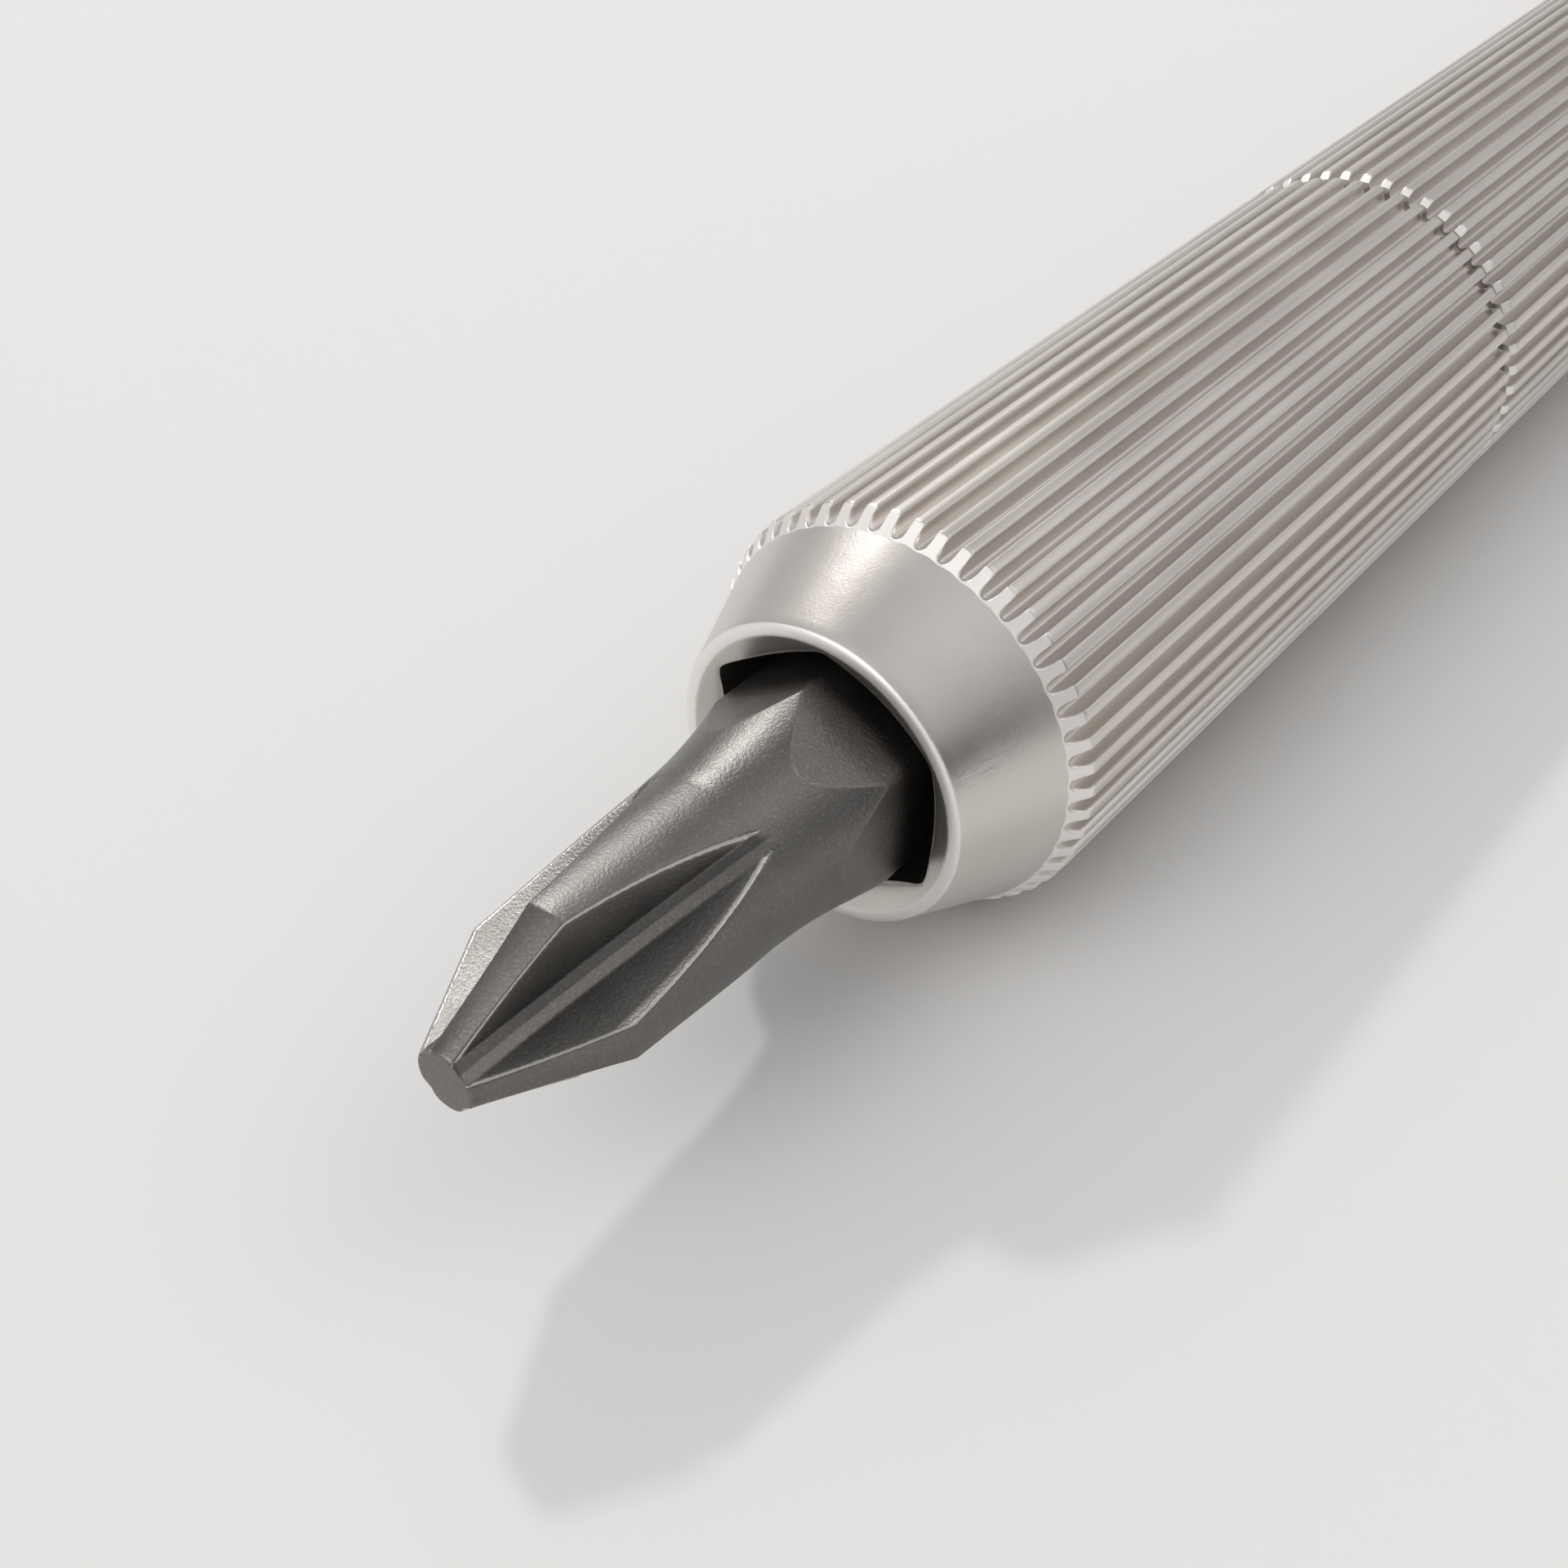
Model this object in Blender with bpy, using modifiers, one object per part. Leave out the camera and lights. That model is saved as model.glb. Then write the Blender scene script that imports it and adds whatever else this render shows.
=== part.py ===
"""A slim precision screwdriver lying on its side, with its bit pointing to -X.

The fluted nose holds a loose hex bit against a magnet and screws off the fluted barrel, which keeps
two spare bits. The cap at the tail swivels on a small ball bearing.

Every piece is modelled along one tool axis: its z runs from the rim of the nose (zero) to the tail,
and its +x points down to the table. An empty turns that axis onto world +X.
"""

import math

import bmesh
import bpy
from mathutils import Matrix, Vector

MM = 0.001

# Handle
HANDLE_RADIUS = 4.40 * MM
FLUTE_COUNT = 51
GROOVE_WIDTH = 0.30 * MM
GROOVE_FLOOR = 0.10 * MM
GROOVE_DEPTH = 0.27 * MM
GROOVE_CORNER = 0.06 * MM
NOSE_LENGTH = 21.60 * MM
SEAM_GAP = 0.10 * MM
END_CHAMFER = 0.10 * MM

# Nose front
LIP_INNER_RADIUS = 2.98 * MM
LIP_OUTER_RADIUS = 3.23 * MM
LIP_ROUND = 0.07 * MM
CONE_ANGLE = math.radians(21.9)
CONE_END_RADIUS = 4.10 * MM
BEVEL_ANGLE = math.radians(34.0)
MOUTH_ACROSS_FLATS = 4.90 * MM
MOUTH_DEPTH = 2.60 * MM
COUNTERSINK_ANGLE = math.radians(60.0)

# Bits
BIT_ACROSS_FLATS = 4.00 * MM
BIT_LENGTH = 28.00 * MM
BIT_REACH = 9.15 * MM
BIT_PROUD = 0.47 * MM
BIT_TIP_RADIUS = 0.60 * MM
BIT_TAPER_ANGLE = math.radians(26.5)
BIT_NECK_RADIUS = 1.85 * MM
BIT_FLARE_ANGLE = math.radians(17.0)
BIT_END_CHAMFER = 0.45 * MM
WHEEL_RADIUS = 16.70 * MM
WHEEL_EDGE = 0.40 * MM
GROOVE_ROOT_RADIUS = 0.57 * MM
BLADE_WIDTH = 2.50 * MM
BLADE_THICKNESS = 0.45 * MM
BLADE_LENGTH = 2.30 * MM
BLADE_TAPER = 2.30 * MM
BLADE_SLOPE = math.radians(12.0)
KEY_ACROSS_FLATS = 2.00 * MM
KEY_LENGTH = 5.00 * MM
KEY_FILLET = 0.10 * MM

# Socket pressed into the nose
SOCKET_RADIUS = 3.05 * MM
SOCKET_CLEARANCE = 0.03 * MM
MAGNET_LENGTH = 1.20 * MM
PUSH_HOLE_RADIUS = 0.75 * MM
PRESS_CLEARANCE = 0.05 * MM
FACE_CLEARANCE = 0.05 * MM

# Thread and seal between nose and barrel
THREAD_PITCH = 0.75 * MM
THREAD_TURNS = 6
THREAD_CORE_RADIUS = 2.78 * MM
THREAD_CREST_RADIUS = 3.16 * MM
THREAD_CREST_WIDTH = 0.14 * MM
THREAD_FLANK_ANGLE = math.radians(30.0)
THREAD_SINK = 0.08 * MM
THREAD_CLEARANCE = 0.10 * MM
THREAD_RUN_OUT = 1.00 * MM
O_RING_SECTION_RADIUS = 0.35 * MM
O_RING_GROOVE_RADIUS = 2.55 * MM
O_RING_CLEARANCE = 0.04 * MM
SEAL_BORE_RADIUS = 3.33 * MM
SEAL_BORE_DEPTH = 1.20 * MM

# Magazine
MAGAZINE_RADIUS = 2.95 * MM
MAGAZINE_WALL = 0.45 * MM
MAGAZINE_ENTRY = 1.60 * MM
PAD_LENGTH = 0.70 * MM
PAD_HOLE_RADIUS = 0.60 * MM

# Bearing and swivel
BEARING_OUTER_RADIUS = 3.00 * MM
BEARING_BORE_RADIUS = 1.00 * MM
BEARING_WIDTH = 2.50 * MM
BALL_COUNT = 7
BALL_RADIUS = 0.50 * MM
BALL_CIRCLE_RADIUS = 2.00 * MM
BALL_CLEARANCE = 0.03 * MM
RACE_LAND = 0.20 * MM
CAGE_WALL = 0.30 * MM
CAGE_WIDTH = 1.60 * MM
POCKET_CLEARANCE = 0.06 * MM
SHIELD_THICKNESS = 0.15 * MM
SHIELD_INSET = 0.06 * MM
STOP_LENGTH = 2.80 * MM
STOP_BORE_RADIUS = 1.90 * MM
RETAINER_LENGTH = 1.50 * MM
RETAINER_NOTCH = 0.60 * MM
SCREW_HEAD_RADIUS = 1.50 * MM
SCREW_HEAD_LENGTH = 1.10 * MM
SCREW_SHANK_RADIUS = 0.95 * MM
SCREW_GRIP = 2.40 * MM
SCREW_KEY_ACROSS_FLATS = 1.30 * MM
SCREW_KEY_DEPTH = 0.70 * MM
WASHER_THICKNESS = 0.30 * MM
WASHER_BORE_RADIUS = 2.10 * MM
WASHER_RADIUS = 4.20 * MM
CAP_RADIUS = 4.35 * MM
CAP_LENGTH = 8.00 * MM
CAP_BOSS_RADIUS = 1.60 * MM
CAP_EDGE = 0.50 * MM
CAP_EDGE_FLAT = 0.15 * MM
CAP_LINE_Z = 2.00 * MM
CAP_LINE_DEPTH = 0.12 * MM
CAP_LINE_WIDTH = 0.30 * MM
DISC_RADIUS = 3.10 * MM
DISC_THICKNESS = 0.60 * MM

# Facets
CAP_STEPS = 50
FINE_STEPS = 36
THREAD_STEPS = 24
POCKET_STEPS = 12
WHEEL_STEPS = 128
RACE_STEPS = 4
O_RING_SIDES = 8
BALL_SEGMENTS = 12
BALL_RINGS = 8
MERGE_DISTANCE = 0.000001
OVERSHOOT = 1.00 * MM

# Places along the tool axis, from the rim to the tail
BIT_TIP_Z = -(BIT_PROUD + BIT_REACH)
BIT_BACK_Z = BIT_TIP_Z + BIT_LENGTH
MAGNET_Z = BIT_BACK_Z + FACE_CLEARANCE
SOCKET_FLOOR_Z = MAGNET_Z + MAGNET_LENGTH + FACE_CLEARANCE
SOCKET_Z = MOUTH_DEPTH + FACE_CLEARANCE
NOSE_BACK_Z = NOSE_LENGTH - SEAM_GAP / 2
BARREL_Z = NOSE_LENGTH + SEAM_GAP / 2
O_RING_Z = BARREL_Z + SEAL_BORE_DEPTH / 2
THREAD_Z = BARREL_Z + SEAL_BORE_DEPTH + THREAD_PITCH / 2
THREAD_LENGTH = THREAD_PITCH * THREAD_TURNS
SPIGOT_END_Z = THREAD_Z + THREAD_LENGTH + THREAD_PITCH / 2
THREADED_BORE_END_Z = SPIGOT_END_Z + THREAD_RUN_OUT
MAGAZINE_Z = THREADED_BORE_END_Z + MAGAZINE_ENTRY - THREAD_RUN_OUT
PLUG_Z = MAGAZINE_Z + FACE_CLEARANCE
FIRST_SPARE_Z = PLUG_Z + PAD_LENGTH + FACE_CLEARANCE
SPACER_Z = FIRST_SPARE_Z + BIT_LENGTH + FACE_CLEARANCE
SECOND_SPARE_Z = SPACER_Z + PAD_LENGTH + FACE_CLEARANCE
END_PAD_Z = SECOND_SPARE_Z + BIT_LENGTH + FACE_CLEARANCE
MAGAZINE_END_Z = END_PAD_Z + PAD_LENGTH + FACE_CLEARANCE
STOP_Z = MAGAZINE_END_Z + FACE_CLEARANCE
BEARING_Z = STOP_Z + STOP_LENGTH + FACE_CLEARANCE
BEARING_CENTRE_Z = BEARING_Z + BEARING_WIDTH / 2
RETAINER_Z = BEARING_Z + BEARING_WIDTH + FACE_CLEARANCE
BARREL_END_Z = RETAINER_Z + RETAINER_LENGTH + FACE_CLEARANCE
WASHER_Z = BARREL_END_Z + FACE_CLEARANCE
CAP_Z = WASHER_Z + WASHER_THICKNESS + FACE_CLEARANCE
CAP_END_Z = CAP_Z + CAP_LENGTH
SCREW_Z = BEARING_Z - FACE_CLEARANCE - SCREW_HEAD_LENGTH
BOSS_Z = BEARING_Z + BEARING_WIDTH + FACE_CLEARANCE
SCREW_END_Z = BOSS_Z + SCREW_GRIP

# Radii that follow from the sizes above
HALF_PITCH = math.pi / FLUTE_COUNT
HALF_RIDGE = HALF_PITCH - math.asin(GROOVE_WIDTH / 2 / HANDLE_RADIUS)
RIDGE_FLAT_RADIUS = HANDLE_RADIUS * math.cos(HALF_RIDGE)
GROOVE_FLOOR_RADIUS = HANDLE_RADIUS - GROOVE_DEPTH
HEX_CORNER = 1 / math.cos(math.pi / 6)
BIT_CORNER_RADIUS = BIT_ACROSS_FLATS / 2 * HEX_CORNER
MOUTH_CORNER_RADIUS = MOUTH_ACROSS_FLATS / 2 * HEX_CORNER
SOCKET_ACROSS_FLATS = BIT_ACROSS_FLATS + 2 * SOCKET_CLEARANCE
MAGNET_RADIUS = SOCKET_ACROSS_FLATS / 2 - PRESS_CLEARANCE
NOSE_BORE_RADIUS = SOCKET_RADIUS + PRESS_CLEARANCE
THREAD_BORE_RADIUS = THREAD_CORE_RADIUS + THREAD_CLEARANCE
BEARING_BORE_SEAT_RADIUS = BEARING_OUTER_RADIUS + PRESS_CLEARANCE
MAGAZINE_OUTER_RADIUS = MAGAZINE_RADIUS - PRESS_CLEARANCE
MAGAZINE_INNER_RADIUS = MAGAZINE_OUTER_RADIUS - MAGAZINE_WALL
PAD_RADIUS = MAGAZINE_INNER_RADIUS - PRESS_CLEARANCE
CENTRE_X = -(CAP_END_Z + BIT_TIP_Z) / 2

COLOURS = {
    "aluminium": ((0.60, 0.585, 0.56), 0.42, 1.0),
    "tool_steel": ((0.16, 0.155, 0.15), 0.45, 1.0),
    "socket_steel": ((0.22, 0.215, 0.21), 0.40, 1.0),
    "magnet_nickel": ((0.62, 0.60, 0.56), 0.25, 1.0),
    "bearing_steel": ((0.55, 0.55, 0.56), 0.20, 1.0),
    "shield_steel": ((0.45, 0.45, 0.46), 0.30, 1.0),
    "cage_brass": ((0.60, 0.45, 0.20), 0.35, 1.0),
    "black_rubber": ((0.02, 0.02, 0.02), 0.70, 0.0),
    "grey_plastic": ((0.30, 0.30, 0.30), 0.50, 0.0),
    "white_nylon": ((0.75, 0.74, 0.70), 0.45, 0.0),
    "screw_steel": ((0.35, 0.34, 0.33), 0.35, 1.0),
}


def clear_scene():
    for found in list(bpy.data.objects):
        bpy.data.objects.remove(found)


def new_collection(name):
    collection = bpy.data.collections.new(name)
    bpy.context.scene.collection.children.link(collection)
    return collection


def material(name):
    colour, roughness, metallic = COLOURS[name]
    made = bpy.data.materials.get(name) or bpy.data.materials.new(name)
    made.use_nodes = True
    made.diffuse_color = (*colour, 1.0)
    shader = made.node_tree.nodes["Principled BSDF"]
    shader.inputs["Base Color"].default_value = (*colour, 1.0)
    shader.inputs["Roughness"].default_value = roughness
    shader.inputs["Metallic"].default_value = metallic
    return made


def smooth(mesh):
    mesh.shade_smooth()
    mesh.set_sharp_from_angle(angle=math.radians(30.0))


def empty(name, z, parent):
    """An axis that pieces hang on, at a place along the tool axis."""
    made = bpy.data.objects.new(name, None)
    made.empty_display_size = HANDLE_RADIUS
    parts.objects.link(made)
    made.parent = parent
    made.location.z = z
    return made


def place(piece, finish, axis):
    """Makes an object a piece of the tool: its material, its collection and the axis that carries it."""
    piece.data.materials.append(material(finish))
    parts.objects.link(piece)
    piece.parent = axis
    piece.location.z -= axis.location.z if axis is not tool_axis else 0.0
    return piece


def cutter(piece):
    cutters.objects.link(piece)
    piece.parent = tool_axis
    piece.hide_render = True
    piece.display_type = "WIRE"
    return piece


def combine(piece, other, operation):
    modifier = piece.modifiers.new(f"{operation.lower()}_{other.name}", "BOOLEAN")
    modifier.operation = operation
    modifier.solver = "EXACT"
    modifier.object = cutter(other)


def cut(piece, *others):
    for other in others:
        combine(piece, other, "DIFFERENCE")


def turned(name, profile, steps):
    """A solid of revolution. The profile's (z, radius) points run down the outside, then up the inside."""
    mesh = bpy.data.meshes.new(name)
    points = [(radius, 0.0, z) for z, radius in profile]
    edges = [(i, (i + 1) % len(points)) for i in range(len(points))]
    if profile[0][1] == 0.0 and profile[-1][1] == 0.0:
        edges.pop()
    mesh.from_pydata(points, edges, [])
    piece = bpy.data.objects.new(name, mesh)
    screw = piece.modifiers.new("turn", "SCREW")
    screw.axis = "Z"
    screw.steps = steps
    screw.render_steps = steps
    screw.use_merge_vertices = True
    screw.merge_threshold = MERGE_DISTANCE
    return piece


def ring(name, z, length, outer, inner, steps):
    """A plain ring, or a disc where its inner radius is zero."""
    return turned(name, [(z + length, outer), (z, outer), (z, inner), (z + length, inner)], steps)


def disc(name, z, length, radius, steps):
    return turned(name, [(z + length, 0.0), (z + length, radius), (z, radius), (z, 0.0)], steps)


def hex_prism(name, z, length, across_flats):
    """A hex bar along the tool axis, with two of its corners up and down."""
    bm = bmesh.new()
    corner = across_flats / 2 * HEX_CORNER
    bmesh.ops.create_cone(bm, cap_ends=True, segments=6, radius1=corner, radius2=corner, depth=length)
    bmesh.ops.rotate(bm, verts=bm.verts, cent=(0, 0, 0), matrix=Matrix.Rotation(math.pi / 2, 3, "Z"))
    bmesh.ops.translate(bm, verts=bm.verts, vec=(0, 0, length / 2))
    mesh = bpy.data.meshes.new(name)
    bm.to_mesh(mesh)
    bm.free()
    piece = bpy.data.objects.new(name, mesh)
    piece.location.z = z
    return piece


def box(name, centre, size, turn=None):
    bm = bmesh.new()
    bmesh.ops.create_cube(bm, size=1.0)
    bmesh.ops.scale(bm, verts=bm.verts, vec=size)
    if turn:
        bmesh.ops.rotate(bm, verts=bm.verts, cent=(0, 0, 0), matrix=turn)
    mesh = bpy.data.meshes.new(name)
    bm.to_mesh(mesh)
    bm.free()
    piece = bpy.data.objects.new(name, mesh)
    piece.location = centre
    return piece


def mesh_of_curve(curve_object):
    """The mesh of a filled curve, with its loose caps joined to its sides."""
    graph = bpy.context.evaluated_depsgraph_get()
    mesh = bpy.data.meshes.new_from_object(curve_object.evaluated_get(graph))
    bm = bmesh.new()
    bm.from_mesh(mesh)
    bmesh.ops.remove_doubles(bm, verts=bm.verts, dist=MERGE_DISTANCE)
    bmesh.ops.recalc_face_normals(bm, faces=bm.faces)
    bm.to_mesh(mesh)
    bm.free()
    return mesh


def fluted_bar(name, z, length, first_groove):
    """A bar with straight grooves all round. first_groove is the angle of one groove from straight down."""
    half_width = GROOVE_WIDTH / 2
    half_floor = GROOVE_FLOOR / 2
    rim = math.sqrt(HANDLE_RADIUS**2 - half_width**2)
    corner = half_floor + GROOVE_CORNER
    groove = [
        (-half_width, rim),
        (-corner, GROOVE_FLOOR_RADIUS + GROOVE_CORNER),
        (-half_floor, GROOVE_FLOOR_RADIUS),
        (half_floor, GROOVE_FLOOR_RADIUS),
        (corner, GROOVE_FLOOR_RADIUS + GROOVE_CORNER),
        (half_width, rim),
    ]
    curve = bpy.data.curves.new(name, "CURVE")
    curve.dimensions = "2D"
    curve.fill_mode = "BOTH"
    curve.extrude = length / 2
    spline = curve.splines.new("POLY")
    spline.use_cyclic_u = True
    spline.points.add(FLUTE_COUNT * len(groove) - 1)
    for flute in range(FLUTE_COUNT):
        angle = first_groove + flute * 2 * math.pi / FLUTE_COUNT
        for step, (across, radius) in enumerate(groove):
            x = radius * math.cos(angle) - across * math.sin(angle)
            y = radius * math.sin(angle) + across * math.cos(angle)
            spline.points[flute * len(groove) + step].co = (x, y, 0.0, 1.0)
    outline = bpy.data.objects.new(name + "_outline", curve)
    cutters.objects.link(outline)
    bpy.context.view_layer.update()
    mesh = mesh_of_curve(outline)
    bpy.data.objects.remove(outline)
    piece = bpy.data.objects.new(name, mesh)
    piece.location.z = z + length / 2
    return piece


def thread_width(radius, play):
    """Width along the axis of the thread's tooth at a radius, with play for the groove that takes it."""
    flank = (THREAD_CREST_RADIUS - radius) * math.tan(THREAD_FLANK_ANGLE)
    return THREAD_CREST_WIDTH + 2 * flank + play


def thread_coil(name, z, turns, inner, outer, play):
    """One turn after another of a tooth, as a closed bar that climbs to the tail like a right-hand screw."""
    bm = bmesh.new()
    section = [
        (inner, -thread_width(inner, play) / 2),
        (outer, -thread_width(outer, play) / 2),
        (outer, thread_width(outer, play) / 2),
        (inner, thread_width(inner, play) / 2),
    ]
    start = bm.faces.new([bm.verts.new((radius, 0.0, height)) for radius, height in section])
    steps = turns * THREAD_STEPS
    bmesh.ops.spin(
        bm,
        geom=[start, *start.edges, *start.verts],
        cent=(0, 0, 0),
        axis=(0, 0, 1),
        dvec=(0, 0, THREAD_PITCH / THREAD_STEPS),
        angle=2 * math.pi * turns,
        steps=steps,
        use_merge=False,
        use_duplicate=False,
    )
    bmesh.ops.remove_doubles(bm, verts=bm.verts, dist=MERGE_DISTANCE)
    open_edges = [edge for edge in bm.edges if edge.is_boundary]
    if open_edges:
        bmesh.ops.holes_fill(bm, edges=open_edges, sides=len(section))
    bmesh.ops.recalc_face_normals(bm, faces=bm.faces)
    mesh = bpy.data.meshes.new(name)
    bm.to_mesh(mesh)
    bm.free()
    piece = bpy.data.objects.new(name, mesh)
    piece.location.z = z
    return piece


def nose_form():
    """The turned outside of the nose: a round lip, a long cone, and a short bevel up to the ridges."""
    cone_end_z = LIP_ROUND + (CONE_END_RADIUS - LIP_OUTER_RADIUS) / math.tan(CONE_ANGLE)
    outside = HANDLE_RADIUS + OVERSHOOT
    profile = [
        (NOSE_BACK_Z, 0.0),
        (NOSE_BACK_Z, HANDLE_RADIUS - END_CHAMFER),
        (NOSE_BACK_Z - END_CHAMFER - OVERSHOOT, outside),
        (cone_end_z + (outside - CONE_END_RADIUS) / math.tan(BEVEL_ANGLE), outside),
        (cone_end_z, CONE_END_RADIUS),
        (LIP_ROUND, LIP_OUTER_RADIUS),
        (0.0, LIP_OUTER_RADIUS - LIP_ROUND),
        (0.0, 0.0),
    ]
    form = turned("nose_form", profile, FLUTE_COUNT)
    form.rotation_euler.z = HALF_PITCH
    return form


def make_nose_sleeve():
    piece = fluted_bar("nose_sleeve", -OVERSHOOT, NOSE_LENGTH + 2 * OVERSHOOT, HALF_PITCH)
    combine(piece, nose_form(), "INTERSECT")
    sink_radius = LIP_INNER_RADIUS + OVERSHOOT * math.tan(COUNTERSINK_ANGLE)
    sink_depth = LIP_INNER_RADIUS / math.tan(COUNTERSINK_ANGLE)
    sink = [(sink_depth, 0.0), (-OVERSHOOT, sink_radius), (-OVERSHOOT, 0.0)]
    countersink = turned("mouth_countersink", sink, FLUTE_COUNT)
    countersink.rotation_euler.z = HALF_PITCH
    cut(
        piece,
        disc("nose_bore", MOUTH_DEPTH, NOSE_LENGTH, max(NOSE_BORE_RADIUS, MOUTH_CORNER_RADIUS), FINE_STEPS),
        hex_prism("mouth_hex", -OVERSHOOT, MOUTH_DEPTH + 2 * OVERSHOOT, MOUTH_ACROSS_FLATS),
        countersink,
    )
    return place(piece, "aluminium", nose_axis)


def make_bit_socket():
    """The steel insert that grips the bit, and whose tail is the threaded spigot."""
    groove_half = O_RING_SECTION_RADIUS + O_RING_CLEARANCE
    profile = [
        (SPIGOT_END_Z, 0.0),
        (SPIGOT_END_Z, THREAD_CORE_RADIUS - END_CHAMFER),
        (SPIGOT_END_Z - END_CHAMFER, THREAD_CORE_RADIUS),
        (O_RING_Z + groove_half, THREAD_CORE_RADIUS),
        (O_RING_Z + groove_half, O_RING_GROOVE_RADIUS),
        (O_RING_Z - groove_half, O_RING_GROOVE_RADIUS),
        (O_RING_Z - groove_half, SOCKET_RADIUS),
        (SOCKET_Z + END_CHAMFER, SOCKET_RADIUS),
        (SOCKET_Z, SOCKET_RADIUS - END_CHAMFER),
        (SOCKET_Z, 0.0),
    ]
    piece = turned("bit_socket", profile, THREAD_STEPS)
    inner = THREAD_CORE_RADIUS - THREAD_SINK
    coil = thread_coil("spigot_thread", THREAD_Z, THREAD_TURNS, inner, THREAD_CREST_RADIUS, 0.0)
    combine(piece, coil, "UNION")
    hole_length = SOCKET_FLOOR_Z - SOCKET_Z + OVERSHOOT
    cut(
        piece,
        hex_prism("socket_hex", SOCKET_Z - OVERSHOOT, hole_length, SOCKET_ACROSS_FLATS),
        disc("push_hole", SOCKET_FLOOR_Z - OVERSHOOT / 2, SPIGOT_END_Z, PUSH_HOLE_RADIUS, THREAD_STEPS),
    )
    return place(piece, "socket_steel", nose_axis)


def make_socket_magnet():
    piece = disc("socket_magnet", MAGNET_Z, MAGNET_LENGTH, MAGNET_RADIUS, FINE_STEPS)
    return place(piece, "magnet_nickel", nose_axis)


def make_spigot_o_ring():
    bm = bmesh.new()
    major = O_RING_GROOVE_RADIUS + O_RING_SECTION_RADIUS + O_RING_CLEARANCE
    centre = Matrix.Translation((major, 0, 0)) @ Matrix.Rotation(math.pi / 2, 4, "X")
    bmesh.ops.create_circle(bm, segments=O_RING_SIDES, radius=O_RING_SECTION_RADIUS, matrix=centre)
    bmesh.ops.spin(
        bm,
        geom=bm.verts[:] + bm.edges[:],
        cent=(0, 0, 0),
        axis=(0, 0, 1),
        dvec=(0, 0, 0),
        angle=2 * math.pi,
        steps=THREAD_STEPS,
        use_merge=True,
        use_duplicate=False,
    )
    bmesh.ops.remove_doubles(bm, verts=bm.verts, dist=MERGE_DISTANCE)
    bmesh.ops.recalc_face_normals(bm, faces=bm.faces)
    mesh = bpy.data.meshes.new("spigot_o_ring")
    bm.to_mesh(mesh)
    bm.free()
    smooth(mesh)
    piece = bpy.data.objects.new("spigot_o_ring", mesh)
    piece.location.z = O_RING_Z
    return place(piece, "black_rubber", advance_axis)


def shank_form(name, z, tip_profile):
    """The turned outline that a hex bar is cut to. tip_profile runs from the shank to the working end."""
    outside = BIT_CORNER_RADIUS + OVERSHOOT
    back = z + BIT_LENGTH
    flare = (outside - BIT_NECK_RADIUS) / math.tan(BIT_FLARE_ANGLE)
    shoulder = (BIT_CORNER_RADIUS - BIT_NECK_RADIUS) / math.tan(BIT_FLARE_ANGLE)
    neck_z = z + BIT_REACH - shoulder
    profile = [(back, 0.0), (back, BIT_CORNER_RADIUS - BIT_END_CHAMFER)]
    profile += [(back - BIT_END_CHAMFER - OVERSHOOT, outside)]
    profile += [(neck_z + flare, outside), (neck_z, BIT_NECK_RADIUS), *tip_profile]
    return turned(name, profile, FINE_STEPS)


def make_phillips_bit():
    piece = hex_prism("phillips_bit", BIT_TIP_Z, BIT_LENGTH, BIT_ACROSS_FLATS)
    taper_length = (BIT_NECK_RADIUS - BIT_TIP_RADIUS) / math.tan(BIT_TAPER_ANGLE)
    tip = [(BIT_TIP_Z + taper_length, BIT_NECK_RADIUS), (BIT_TIP_Z, BIT_TIP_RADIUS), (BIT_TIP_Z, 0.0)]
    combine(piece, shank_form("phillips_form", BIT_TIP_Z, tip), "INTERSECT")
    for flute in range(4):
        cut(piece, grinding_wheel(f"tip_wheel_{flute + 1}", math.pi / 4 + flute * math.pi / 2))
    return place(piece, "tool_steel", bit_axis)


def grinding_wheel(name, angle):
    """The V-edged wheel that grinds one of the four grooves of the cross tip, its rim just off the axis."""
    depth = BIT_NECK_RADIUS + OVERSHOOT
    edge = WHEEL_EDGE / 2
    inner = WHEEL_RADIUS - depth
    profile = [
        (edge + depth, inner),
        (edge, WHEEL_RADIUS),
        (-edge, WHEEL_RADIUS),
        (-edge - depth, inner),
    ]
    wheel = turned(name, profile, WHEEL_STEPS)
    outward = Vector((math.cos(angle), math.sin(angle), 0.0))
    across = Vector((-math.sin(angle), math.cos(angle), 0.0))
    turn = Matrix((outward, across.cross(outward), across)).transposed()
    centre = outward * (GROOVE_ROOT_RADIUS + WHEEL_RADIUS) + Vector((0.0, 0.0, BIT_TIP_Z))
    wheel.rotation_euler = turn.to_euler()
    wheel.location = centre
    return wheel


def make_spare_slotted_bit():
    z = FIRST_SPARE_Z
    piece = hex_prism("spare_bit_slotted", z, BIT_LENGTH, BIT_ACROSS_FLATS)
    half_width = BLADE_WIDTH / 2
    taper_z = z + BLADE_LENGTH
    tip = [(taper_z + BLADE_TAPER, BIT_NECK_RADIUS), (taper_z, half_width), (z, half_width), (z, 0.0)]
    combine(piece, shank_form("slotted_form", z, tip), "INTERSECT")
    depth = BIT_NECK_RADIUS * 2
    for side in (-1, 1):
        turn = Matrix.Rotation(side * BLADE_SLOPE, 3, "Y")
        reach = BLADE_THICKNESS / 2 + depth / 2 / math.cos(BLADE_SLOPE)
        slab = box(f"blade_slab_{side}", (side * reach, 0, z), (depth, depth * 2, BIT_REACH * 2), turn)
        cut(piece, slab)
    return place(piece, "tool_steel", tool_axis)


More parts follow.
